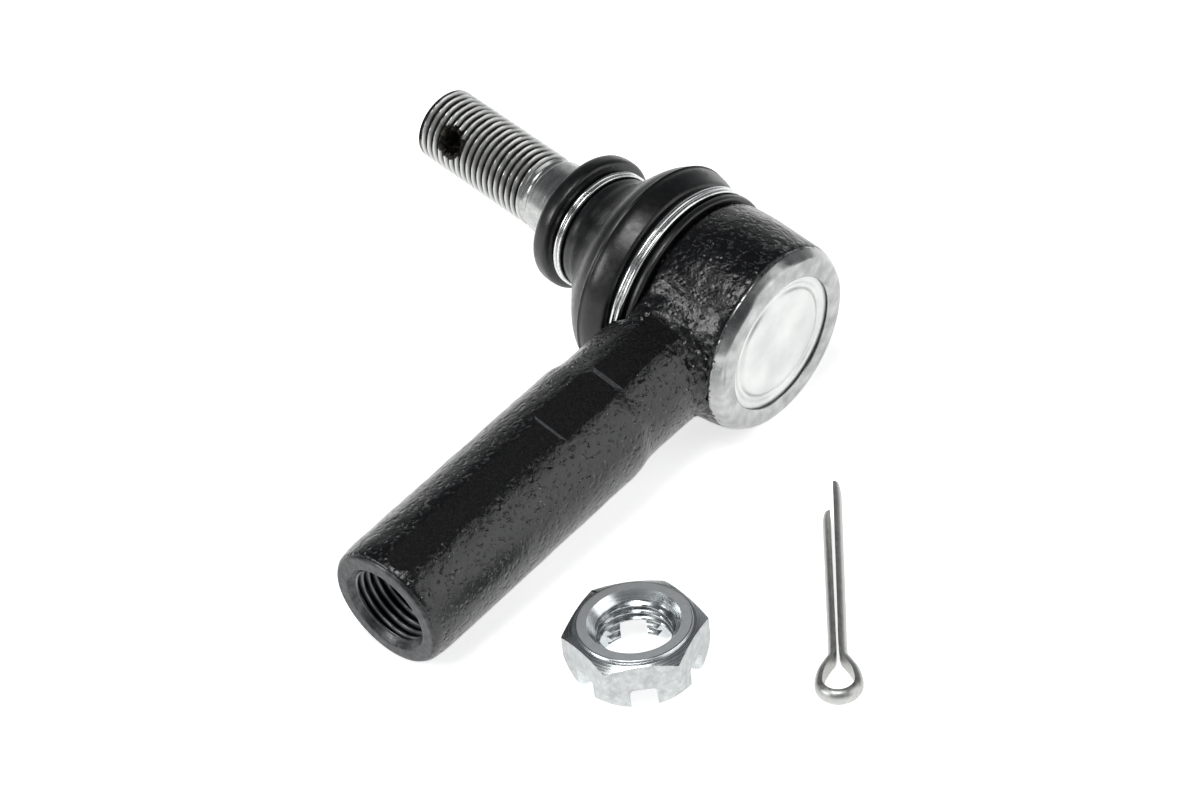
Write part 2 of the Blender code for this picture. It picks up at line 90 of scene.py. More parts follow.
# Thread of the stud and the nut, M14 x 1.5. The shank's bore has the same pitch on a wider circle, M16 x 1.5
PITCH = 1.5
THREAD_R = 7.0
THREAD_DEPTH = 0.85
THREAD_ROOT = THREAD_R - THREAD_DEPTH

# Socket, along its axis from the ball's centre
RIM_FACE, RIM_FACE_R = -14.45, 16.2
RIM_BACK, RIM_BACK_R = -12.0, 17.5
RIM_LIP_R = 12.7
PLATE_FACE, PLATE_R, PLATE_GROOVE_R = -13.65, 13.6, 10.9
HEAD_TOP, HEAD_TOP_R, HEAD_MIDDLE_R = 4.6, 18.4, 18.6
COLLAR_R, COLLAR_TOP, FACING_R = 15.6, 10.7, 20.9

# Shank, along its axis from the ball's centre
SHANK_R, SHANK_NECK_R, SHANK_END_R = 11.65, 10.9, 10.9
BORE_MOUTH_R, BORE_THREAD_R, BORE_DRILL_R, BORE_DEPTH = 8.4, 8.0, 8.2, 44.0
# Sheared flats: start, end, height above the axis and half the width of the tool. A ledge runs this far along
# the shank for each millimetre that it rises, and a draft this far out
FLATS = ((16.0, 31.2, 10.45, 3.3), (31.2, 46.2, 11.02, 4.2), (46.2, 92.0, 11.36, 5.0))
FLAT_TURN, FLAT_LEDGE, FLAT_DRAFT = radians(11.6), 2.2, 0.5

# Stud, along its axis from the ball's centre
BALL_R, BALL_FLAT, STUD_NECK_R = 11.0, -8.6, 6.0
TAPER_START, TAPER_R, TAPER_END, TAPER_END_R = 19.0, 8.1, 42.4, 7.2
STUD_THREAD_START = 44.6
HOLE_FROM_TIP, HOLE_R, HOLE_MOUTH_R, HOLE_TURN = 8.2, 2.1, 3.1, radians(55)

# Boot and its rings
BOOT_START, BOOT_TOP, BOOT_GROOVE_R = 4.9, 34.9, 18.35
BIG_RING_AT, BIG_RING_R, BIG_WIRE_R = 8.0, 19.1, 0.5
SMALL_RING_AT, SMALL_RING_R, SMALL_WIRE_R = 29.6, 11.1, 0.4
RING_TURNS, RING_ENDS_AT = 2, -0.86  # the angle is on the side away from the camera

# Nut and pin
NUT_FLATS, NUT_FACE_R, NUT_MOUTH_R = 21.2, 9.75, 7.75
NUT_SLOT_WIDTH, NUT_SLOT_DEPTH, NUT_TURN = 4.5, 4.3, radians(-13)
PIN_TURN = radians(40.6)
PIN_R, PIN_LEG, PIN_GAP = 1.5, 1.4, 0.4
PIN_EYE_LENGTH, PIN_EYE_R, PIN_SHORT_LEG, PIN_LONG_LEG = 10.6, 4.05, 46.4, 54.0

# Soft boxes: name, place in metres, side in metres and power in watts
SOFT_BOXES = (
    ("overhead", (-0.30, -0.10, 1.0), 0.45, 5.0),
    ("left", (-0.95, 0.45, 0.6), 0.45, 5.0),
    ("front", (0.45, -0.9, 0.5), 1.0, 4.5),
    ("back", (0.75, 0.85, 0.22), 1.0, 1.2),
)
TENT_STRENGTH = 0.7

# Where the camera stands, seen from just beside the ball. The lens is in millimetres, the distance in metres
VIEW_AIM = Vector((-22.0, 9.6, -10.4)) * MM
VIEW_AZIMUTH, VIEW_ELEVATION, VIEW_ROLL = radians(-44.41), radians(39.04), radians(-6.61)
VIEW_DISTANCE, VIEW_LENS, VIEW_SENSOR = 0.7756, 133.36, 36.0


# Mesh tools


def rounded(corners, steps=5):
    """Rounds an outline's corners. A corner is (along, radius) or (along, radius, size of the rounding)."""
    found = []
    for i, corner in enumerate(corners):
        size = corner[2] if len(corner) > 2 else 0
        if not size or i in (0, len(corners) - 1):
            found.append(tuple(corner[:2]))
            continue
        here = np.array(corner[:2], float)
        before, after = np.array(corners[i - 1][:2], float), np.array(corners[i + 1][:2], float)
        ends = []
        for other in (before, after):
            reach = np.linalg.norm(other - here)
            ends.append(here + (other - here) * min(size, reach * 0.48) / reach)
        for k in range(steps + 1):
            t = k / steps
            found.append(tuple((1 - t) ** 2 * ends[0] + 2 * t * (1 - t) * here + t * t * ends[1]))
    return found


def divided(outline, longest):
    """Adds points so that no step along the outline is longer than this."""
    found = [outline[0]]
    for start, end in zip(outline, outline[1:]):
        length = sqrt((end[0] - start[0]) ** 2 + (end[1] - start[1]) ** 2)
        count = max(1, int(length / longest + 0.999))
        for k in range(1, count + 1):
            found.append(tuple(start[i] + (end[i] - start[i]) * k / count for i in (0, 1)))
    return found


def arc(radius, start, end, steps):
    """Points (along, radius) of an arc about the origin, between two distances along the axis."""
    first, last = asin(start / radius), asin(end / radius)
    angles = [first + (last - first) * i / steps for i in range(steps + 1)]
    return [(radius * sin(angle), radius * cos(angle)) for angle in angles]


def thread_cut(along, angle, start, end):
    """How deep the thread cuts at a place: a V with a flat crest and root that fades out at both ends."""
    phase = (along / PITCH - angle / (2 * pi)) % 1.0
    depth = min(max((abs(2 * phase - 1) - 0.1) / 0.72, 0), 1)
    fade = min(max((along - start) / (0.7 * PITCH), 0), 1) * min(max((end - along) / (0.7 * PITCH), 0), 1)
    return THREAD_DEPTH * depth * fade


def threaded(start, end, steps=11):
    """Distances along an axis that are close enough to draw a thread's flanks."""
    count = int((end - start) / PITCH * steps)
    return [start + (end - start) * i / count for i in range(count + 1)]


def object_of(name, points, faces, matrix=None, finish=None):
    """A smooth object from points in millimetres of its own frame."""
    mesh = bpy.data.meshes.new(name)
    mesh.from_pydata([tuple(MM * c for c in point) for point in points], [], faces)
    mesh.shade_smooth()
    made = bpy.data.objects.new(name, mesh)
    bpy.context.scene.collection.objects.link(made)
    made.matrix_world = matrix or Matrix()
    if finish:
        mesh.materials.append(finish)
    return made


def turned(name, outline, matrix=None, finish=None, segments=128, shape=None):
    """A solid of revolution about Y. shape(along, radius, angle) may change the radius at each place."""
    points, faces, rows = [], [], []
    for along, radius in outline:
        if radius <= 1e-6:
            rows.append([len(points)])
            points.append((0, along, 0))
            continue
        rows.append(list(range(len(points), len(points) + segments)))
        for i in range(segments):
            angle = 2 * pi * i / segments
            reach = shape(along, radius, angle) if shape else radius
            points.append((reach * cos(angle), along, -reach * sin(angle)))
    pairs = list(zip(rows, rows[1:]))
    if outline[0][1] > 1e-6:
        pairs.append((rows[-1], rows[0]))
    for near, far in pairs:
        for i in range(segments):
            j = (i + 1) % segments
            corners = [near[i % len(near)], near[j % len(near)], far[j % len(far)], far[i % len(far)]]
            faces.append(tuple(dict.fromkeys(corners)))
    made = object_of(name, points, faces, matrix, finish)
    facing_out(made)
    return made


def facing_out(made):
    """Turns every face outwards."""
    work = bmesh.new()
    work.from_mesh(made.data)
    bmesh.ops.recalc_face_normals(work, faces=work.faces)
    work.to_mesh(made.data)
    work.free()


def swept(name, rings, matrix=None, finish=None, caps=True):
    """A tube through rings of points."""
    sides = len(rings[0])
    points = [point for ring in rings for point in ring]
    faces = []
    for k in range(len(rings) - (1 if caps else 0)):
        near, far = k * sides, (k + 1) % len(rings) * sides
        for i in range(sides):
            j = (i + 1) % sides
            faces.append((near + i, near + j, far + j, far + i))
    if caps:
        faces += [tuple(range(sides)), tuple(range((len(rings) - 1) * sides, len(rings) * sides))]
    made = object_of(name, points, faces, matrix, finish)
    facing_out(made)
    return made


def block(name, low, high, matrix, rounding):
    """A box used as a tool, with rounded edges."""
    corners = [(x, y, z) for x in (low[0], high[0]) for y in (low[1], high[1]) for z in (low[2], high[2])]
    sides = [(0, 1, 3, 2), (4, 6, 7, 5), (0, 4, 5, 1), (2, 3, 7, 6), (0, 2, 6, 4), (1, 5, 7, 3)]
    made = object_of(name, corners, sides, matrix)
    facing_out(made)
    step = made.modifiers.new("rounding", "BEVEL")
    step.width, step.segments = rounding * MM, 4
    return made


def combine(target, tool, operation):
    """Applies an exact Boolean and throws the tool away."""
    step = target.modifiers.new("combine", "BOOLEAN")
    step.operation, step.object, step.solver = operation, tool, "EXACT"
    apply_modifiers(target)
    bpy.data.objects.remove(tool, do_unlink=True)


def apply_modifiers(made):
    """Replaces the mesh by what its modifiers make of it."""
    bpy.context.view_layer.update()
    graph = bpy.context.evaluated_depsgraph_get()
    mesh = bpy.data.meshes.new_from_object(made.evaluated_get(graph))
    old = made.data
    made.modifiers.clear()
    made.data = mesh
    mesh.name = made.name
    bpy.data.meshes.remove(old)


def remesh(made, size, smoothing):
    """Skins the object afresh with even faces, and rounds its edges a little."""
    skin = made.modifiers.new("skin", "REMESH")
    skin.mode, skin.voxel_size, skin.use_smooth_shade = "VOXEL", size * MM, True
    soft = made.modifiers.new("soft", "SMOOTH")
    soft.factor, soft.iterations = 0.5, smoothing
    apply_modifiers(made)


def coordinates(mesh):
    """All of a mesh's points, and their normals, in millimetres of its own frame."""
    points = np.empty(len(mesh.vertices) * 3)
    mesh.vertices.foreach_get("co", points)
    normals = np.empty(len(mesh.vertices) * 3)
    mesh.vertices.foreach_get("normal", normals)
    return points.reshape(-1, 3) / MM, normals.reshape(-1, 3)


def displace(made, amounts):
    """Moves each point along its normal by an amount in millimetres."""
    points, normals = coordinates(made.data)
    moved = (points + normals * np.asarray(amounts)[:, None]) * MM
    made.data.vertices.foreach_set("co", moved.ravel())
    made.data.update()


def lumps(points, size, seed):
    """Smooth noise with lumps about this many millimetres across: a value from -1 to 1 for each point."""
    away = Vector((17.3 * seed, 5.1 * seed, 9.7 * seed))
    return np.array([noise.noise(Vector(point) / size + away) for point in points])


def crisp(made, angle=32):
    """Keeps edges sharper than the angle crisp and shades the rest smooth."""
    made.data.shade_smooth()
    made.data.set_sharp_from_angle(angle=radians(angle))


def smooth_path(points, steps):
    """A smooth path through flat points."""
    found = []
    spots = [Vector(point) for point in points]
    for i in range(len(spots) - 1):
        a, b = spots[max(i - 1, 0)], spots[i]
        c, d = spots[i + 1], spots[min(i + 2, len(spots) - 1)]
        for k in range(steps):
            t = k / steps
            bend = (2 * a - 5 * b + 4 * c - d) * t * t + (-a + 3 * b - 3 * c + d) * t**3
            found.append((2 * b + (c - a) * t + bend) / 2)
    return found + [spots[-1]]


# Material tools


def linear(colour):
    """An sRGB hex colour as the linear numbers that a shader takes."""
    channels = [int(colour[i : i + 2], 16) / 255 for i in (1, 3, 5)]
    return tuple(c / 12.92 if c <= 0.04045 else ((c + 0.055) / 1.055) ** 2.4 for c in channels)


def rgba(colour):
    """The same with an alpha of 1. The colour is a hex colour or is linear already."""
    return (*(linear(colour) if isinstance(colour, str) else colour), 1.0)


def add(tree, kind, settings=None, inputs=None):
    """Adds a node with its settings. An input is a value, or an output that is linked to it."""
    node = tree.nodes.new("ShaderNode" + kind)
    for name, value in (settings or {}).items():
        setattr(node, name, value)
    for name, value in (inputs or {}).items():
        if isinstance(value, bpy.types.NodeSocket):
            tree.links.new(value, node.inputs[name])
        else:
            node.inputs[name].default_value = value
    return node


def new_material(name, settings):
    """A material with one Principled shader. Returns it, its tree, its shader and its object coordinates."""
    made = bpy.data.materials.new(name)
    made.use_nodes = True
    tree = made.node_tree
    shader = tree.nodes["Principled BSDF"]
    for socket, value in settings.items():
        shader.inputs[socket].default_value = value
    where = add(tree, "TexCoord").outputs["Object"]
    return made, tree, shader, where


def per_metre(size):
    """Scale of a noise texture whose features are this many millimetres across."""
    return 1.0 / (size * MM)


def ramp(tree, value, low, high, start=0.0, end=1.0):
    """Maps a value from low..high to start..end, held at both ends."""
    inputs = {"Value": value, "From Min": low, "From Max": high, "To Min": start, "To Max": end}
    return add(tree, "MapRange", {"clamp": True}, inputs).outputs["Result"]


def mix_colour(tree, share, first, second):
    """Mixes two colours. Each is a hex colour or an output."""
    inputs = {"Factor": share}
    for socket, value in ((6, first), (7, second)):
        inputs[socket] = value if isinstance(value, bpy.types.NodeSocket) else rgba(value)
    return add(tree, "Mix", {"data_type": "RGBA"}, inputs).outputs[2]


def maths(tree, operation, first, second=0.0):
    """Works out one step of arithmetic on values that change over the surface."""
    return add(tree, "Math", {"operation": operation}, {0: first, 1: second}).outputs[0]


def turning_coordinates(tree, where, axis=1):
    """Distances from and along one axis of the object. The first output joins both in one vector that only
    changes along and away from the axis, as the marks of a lathe do."""
    parts = add(tree, "SeparateXYZ", inputs={0: where}).outputs
    squares = [maths(tree, "MULTIPLY", part, part) for i, part in enumerate(parts) if i != axis]
    across = maths(tree, "SQRT", maths(tree, "ADD", *squares))
    return add(tree, "CombineXYZ", inputs={0: across, 1: parts[axis]}).outputs[0], across, parts[axis]


def dress(tree, shader, colour=None, roughness=None, layers=()):
    """Links colour and roughness to the shader and stacks bump layers on it. Each layer is (height output,
    distance in millimetres, strength)."""
    for socket, value in (("Base Color", colour), ("Roughness", roughness)):
        if value:
            tree.links.new(value, shader.inputs[socket])
    normal = None
    for height, distance, strength in layers:
        inputs = {"Height": height, "Distance": distance * MM, "Strength": strength}
        if normal:
            inputs["Normal"] = normal
        normal = add(tree, "Bump", inputs=inputs).outputs["Normal"]
    if normal:
        tree.links.new(normal, shader.inputs["Normal"])


def grains(tree, where, size, detail=4.0, roughness=0.55, distortion=0.0):
    """Noise whose grains are this many millimetres across."""
    inputs = {"Vector": where, "Scale": per_metre(size), "Detail": detail, "Roughness": roughness}
    inputs["Distortion"] = distortion
    return add(tree, "TexNoise", inputs=inputs).outputs["Fac"]


# Materials

TURNED_TONE = "#a4a5a4"  # stains on turned steel


def stoved_paint(colours):
    """Black stoving paint sprayed thinly over a shot-blasted forging. It is thin enough to keep the scale's
    pits and bumps of half a millimetre to two, so soft light breaks up in it into fine grey sparkle."""
    made, tree, shader, where = new_material("black_stoving_paint", {"Specular IOR Level": 0.6})
    swells = grains(tree, where, 3.2, 3.0)
    grit = grains(tree, where, 0.9, 5.0, 0.6)
    dust = grains(tree, where, 0.3, 3.0, 0.6)
    cells = add(tree, "TexVoronoi", inputs={"Vector": where, "Scale": per_metre(1.5)}).outputs["Distance"]
    lumps_between = ramp(tree, cells, 0.05, 0.34)
    pits = ramp(tree, grains(tree, where, 0.9, 2.0, 0.4), 0.31, 0.39)
    specks = ramp(tree, grains(tree, where, 0.42, 1.0), 0.76, 0.79)
    tone = mix_colour(tree, ramp(tree, grit, 0.5, 0.8), tuple(colours.paint), "#16171a")
    layers = [(swells, 0.5, 0.35), (lumps_between, 0.16, 0.6), (pits, 0.34, 0.9), (grit, 0.15, 0.8),
              (dust, 0.03, 0.5)]
    dress(tree, shader, mix_colour(tree, specks, tone, "#8f9294"), ramp(tree, dust, 0.35, 0.68, 0.10, 0.22),
          layers)
    return made


def planed_paint(colours):
    """The same paint where the die's flash was trimmed away, so it lies over flat sheared steel and looks
    darker and smoother, with fine drag marks along the shank."""
    made, tree, shader, where = new_material("black_paint_on_sheared_steel", {"Specular IOR Level": 0.18})
    stretched = add(tree, "Mapping", inputs={"Vector": where, "Scale": (0.12, 1.0, 1.0)}).outputs[0]
    drag = grains(tree, stretched, 0.5, 4.0, 0.6)
    grit = grains(tree, where, 0.5, 4.0, 0.6)
    dress(tree, shader, mix_colour(tree, ramp(tree, grit, 0.5, 0.8), tuple(colours.paint), "#101113"),
          ramp(tree, grit, 0.35, 0.7, 0.16, 0.30), [(drag, 0.06, 0.5), (grit, 0.34, 1.0)])
    return made


def scuffed_paint_with_painted_highlight(colours):
    """The same paint on the ledges between the flats: rougher where the trimming tool dragged over it, and
    greyed as a painted highlight.
    """
    made, tree, shader, where = new_material("scuffed_black_paint_with_painted_highlight", {})
    scuffs = grains(tree, where, 0.4, 4.0, 0.6)
    # The grey #505254 is a painted highlight on the ledges.
    dress(tree, shader, mix_colour(tree, ramp(tree, scuffs, 0.3, 0.6), tuple(colours.paint), "#505254"),
          ramp(tree, scuffs, 0.3, 0.7, 0.35, 0.5), [(scuffs, 0.08, 0.7)])
    return made


def rolled_rim_steel():
    """Bare steel of the rim after a roller has spun it over the plate: burnished, with fine rings, and with
    the socket's paint ending in a ragged line on its back edge."""
    made, tree, shader, where = new_material("rolled_rim_steel", {})
    rings, _, along = turning_coordinates(tree, where)
    marks = grains(tree, rings, 0.16, 3.0, 0.6)
    blotches = grains(tree, where, 3.0, 3.0)
    ragged = grains(tree, where, 0.9, 5.0, 0.65)
    edge = maths(tree, "ADD", along, ramp(tree, ragged, 0.3, 0.7, -0.75 * MM, 0.55 * MM))
    painted = ramp(tree, edge, (RIM_BACK - 0.30) * MM, (RIM_BACK - 0.16) * MM)
    steel = mix_colour(tree, ramp(tree, blotches, 0.35, 0.7), "#949594", "#b7b8b7")
    tree.links.new(maths(tree, "SUBTRACT", 1.0, painted), shader.inputs["Metallic"])
    duller = maths(tree, "MULTIPLY", painted, 0.2)
    dress(tree, shader, mix_colour(tree, painted, steel, "#0b0b0c"),
          maths(tree, "ADD", ramp(tree, marks, 0.3, 0.7, 0.17, 0.26), duller),
          [(blotches, 0.05, 0.3), (marks, 0.02, 0.4)])
    return made


def plated_pressing(colours):
    """Thin clear-passivated zinc on a pressed plate: pale, satin, nearly white, with a faint mottle."""
    made, tree, shader, where = new_material("zinc_plated_pressing", {"Metallic": 0.85})
    mottle = grains(tree, where, 8.0, 4.0, 0.5)
    specks = grains(tree, where, 0.25, 2.0)
    dress(tree, shader, mix_colour(tree, ramp(tree, mottle, 0.32, 0.68), tuple(colours.plate), "#dcdddb"),
          ramp(tree, mottle, 0.3, 0.7, 0.33, 0.40), [(mottle, 0.03, 0.2), (specks, 0.02, 0.5)])
    return made


def turned_steel(name, tone, other, low=0.2, high=0.34):
    """Medium-carbon steel straight from the lathe: grey, with feed marks of a fifth of a millimetre that
    stretch every highlight round the axis."""
    made, tree, shader, where = new_material(name, {"Metallic": 1.0})
    feed = grains(tree, turning_coordinates(tree, where)[0], 0.22, 2.0, 0.5)
    stain = grains(tree, where, 1.1, 4.0, 0.6)
    dress(tree, shader, mix_colour(tree, ramp(tree, stain, 0.3, 0.8), tone, other),
          ramp(tree, feed, 0.3, 0.7, low, high), [(feed, 0.035, 0.6)])
    return made


def thread_steel(name, outer, depth, inner_tone, outer_tone):
    """Steel with a thread between two radii: crests bright on the stud and worn in the bore, roots dull and
    darkened as painted shade."""
    made, tree, shader, where = new_material(name, {"Metallic": 1.0})
    across = turning_coordinates(tree, where)[1]
    height = ramp(tree, across, (outer - depth) * MM, outer * MM)
    burrs = grains(tree, where, 0.35, 4.0, 0.65)
    # The dark root tone is painted shade in the thread's roots.
    dress(tree, shader, mix_colour(tree, ramp(tree, height, 0.25, 0.85), inner_tone, outer_tone),
          ramp(tree, height, 0.2, 0.95, 0.48, 0.3), [(burrs, 0.06, 0.45)])
    return made


def drilled_steel():
    """The drilled cross hole: dull steel, painted brown-black as the shade inside the hole."""
    made, tree, shader, where = new_material("drilled_steel_painted_shade", {"Metallic": 1.0, "Roughness": 0.45})
    hole_mottle = grains(tree, where, 0.9, 4.0)
    # The brown-black tones are painted shade inside the hole.
    dress(tree, shader, mix_colour(tree, ramp(tree, hole_mottle, 0.4, 0.65), "#1a1814", "#4c4a44"),
          layers=[(hole_mottle, 0.05, 0.5)])
    return made


def moulded_rubber(colours):
    """Compression-moulded chloroprene: satin black, with the mould's faint orange peel and a little bloom."""
    made, tree, shader, where = new_material("moulded_chloroprene", {"IOR": 1.52})
    peel = grains(tree, where, 1.1, 3.0, 0.5)
    fine = grains(tree, where, 0.3, 3.0, 0.55)
    bloom = grains(tree, where, 6.0, 3.0, 0.5)
    dress(tree, shader, mix_colour(tree, ramp(tree, bloom, 0.4, 0.75), tuple(colours.rubber), "#101112"),
          ramp(tree, peel, 0.3, 0.7, 0.26, 0.38), [(peel, 0.09, 0.35), (fine, 0.02, 0.5)])
    return made


def spring_wire():
    """Hard-drawn spring wire: bright, with drawing marks along it."""
    made, tree, shader, where = new_material("hard_drawn_spring_wire", {"Metallic": 1.0})
    marks = grains(tree, where, 0.6, 4.0, 0.6)
    dress(tree, shader, mix_colour(tree, ramp(tree, marks, 0.35, 0.7), "#c9caca", "#e6e7e6"),
          ramp(tree, marks, 0.3, 0.7, 0.12, 0.22), [(marks, 0.008, 0.3)])
    return made


def zinc_on_forged(colours):
    """Bright zinc over the nut's cold-formed sides: soft, pale grey and a little mottled."""
    made, tree, shader, where = new_material("zinc_on_cold_formed_steel", {"Metallic": 0.75})
    mottle = grains(tree, where, 1.3, 5.0, 0.62)
    fine = grains(tree, where, 0.25, 3.0)
    dress(tree, shader, mix_colour(tree, ramp(tree, mottle, 0.35, 0.7), tuple(colours.nut), "#c9cccb"),
          ramp(tree, mottle, 0.3, 0.7, 0.36, 0.5), [(mottle, 0.08, 0.4), (fine, 0.02, 0.5)])
    return made


def zinc_on_turned(name="zinc_on_turned_steel", tone="#d0d5d6", low=0.18, high=0.32):
    """Bright zinc over turned faces: nearly a mirror, so it shows the room as white and blue-black bands."""
    made, tree, shader, where = new_material(name, {"Metallic": 1.0})
    feed = grains(tree, turning_coordinates(tree, where, 2)[0], 0.2, 2.0, 0.5)
    stain = grains(tree, where, 1.6, 4.0, 0.6)
    dress(tree, shader, mix_colour(tree, ramp(tree, stain, 0.4, 0.75), tone, "#e9ecec"),
          ramp(tree, feed, 0.3, 0.7, low, high), [(feed, 0.03, 0.45), (stain, 0.03, 0.3)])
    return made


def galvanised_wire(colours):
    """Soft wire with a dull zinc coat, scuffed by the forming tools."""
    made, tree, shader, where = new_material("galvanised_soft_wire", {"Metallic": 1.0})
    scuffs = grains(tree, where, 0.8, 5.0, 0.65, 0.6)
    dress(tree, shader, mix_colour(tree, ramp(tree, scuffs, 0.38, 0.68), tuple(colours.pin), "#bfc0bc"),
          ramp(tree, scuffs, 0.3, 0.7, 0.30, 0.5), [(scuffs, 0.05, 0.45)])
    return made


def acetal(name, tone, other):
    """Injection-moulded acetal: waxy white or grey, with a faint cloudiness."""
    made, tree, shader, where = new_material(name, {"IOR": 1.48, "Roughness": 0.42})
    wax = grains(tree, where, 4.0, 3.0)
    dress(tree, shader, mix_colour(tree, wax, tone, other), layers=[(grains(tree, where, 0.4), 0.02, 0.3)])
    return made


def blued_spring():
    """Hardened and blued spring strip: blue-black with straw-coloured patches."""
    made, tree, shader, where = new_material("blued_spring_strip", {"Metallic": 1.0, "Roughness": 0.32})
    temper = grains(tree, where, 5.0, 3.0)
    dress(tree, shader, mix_colour(tree, ramp(tree, temper, 0.4, 0.7), "#22252f", "#4a4136"),
          layers=[(grains(tree, where, 0.3), 0.02, 0.4)])
    return made


def lit_sheet():
    """White translucent sheet lit softly from below, so that shadows on it are faint."""
    settings = {"Roughness": 0.9, "Specular IOR Level": 0.1, "Emission Color": (1, 1, 1, 1),
                "Emission Strength": 0.7}
    made, tree, shader, where = new_material("lit_translucent_sheet", settings)
    dress(tree, shader, mix_colour(tree, grains(tree, where, 3.0, 3.0), "#f4f4f4", "#fafafa"))
    return made


# Settings that a user may change


def length_property(name, description, value):
    """A length that a user may change, given in millimetres."""
    return bpy.props.FloatProperty(name=name, description=description, default=value * MM, min=0.0,
                                   unit="LENGTH", precision=5)


def colour_property(name, description, value):
    """A colour that a user may change, given as sRGB hex."""
    return bpy.props.FloatVectorProperty(name=name, description=description, subtype="COLOR", size=3,
                                         min=0.0, max=1.0, default=linear(value))


class TieRodEndSizes(bpy.types.PropertyGroup):
    skin: length_property("Forging detail", "Size of the faces that draw the forging's skin", 0.42)
    lump: length_property("Forging lumps", "How far the forging's skin wanders in and out", 0.10)
    big_wire: length_property("Large ring wire", "Radius of the wire of the large ring", BIG_WIRE_R)
    small_wire: length_property("Small ring wire", "Radius of the wire of the small ring", SMALL_WIRE_R)
    floor: length_property("Floor", "Side of the square floor", 4000)


class TieRodEndColours(bpy.types.PropertyGroup):
    paint: colour_property("Paint", "Black paint of the forging", "#050506")
    steel: colour_property("Bare steel", "Turned and rolled steel of the stud", "#c9cac8")
    plate: colour_property("Closure plate", "Zinc of the pressed closure plate", "#c3c5c4")
    rubber: colour_property("Rubber", "Moulded rubber of the boot", "#060607")
    nut: colour_property("Nut", "Zinc on the castle nut's sides", "#a3a7a7")
    pin: colour_property("Split pin", "Zinc coat of the split pin", "#a9aaa7")


# Pieces


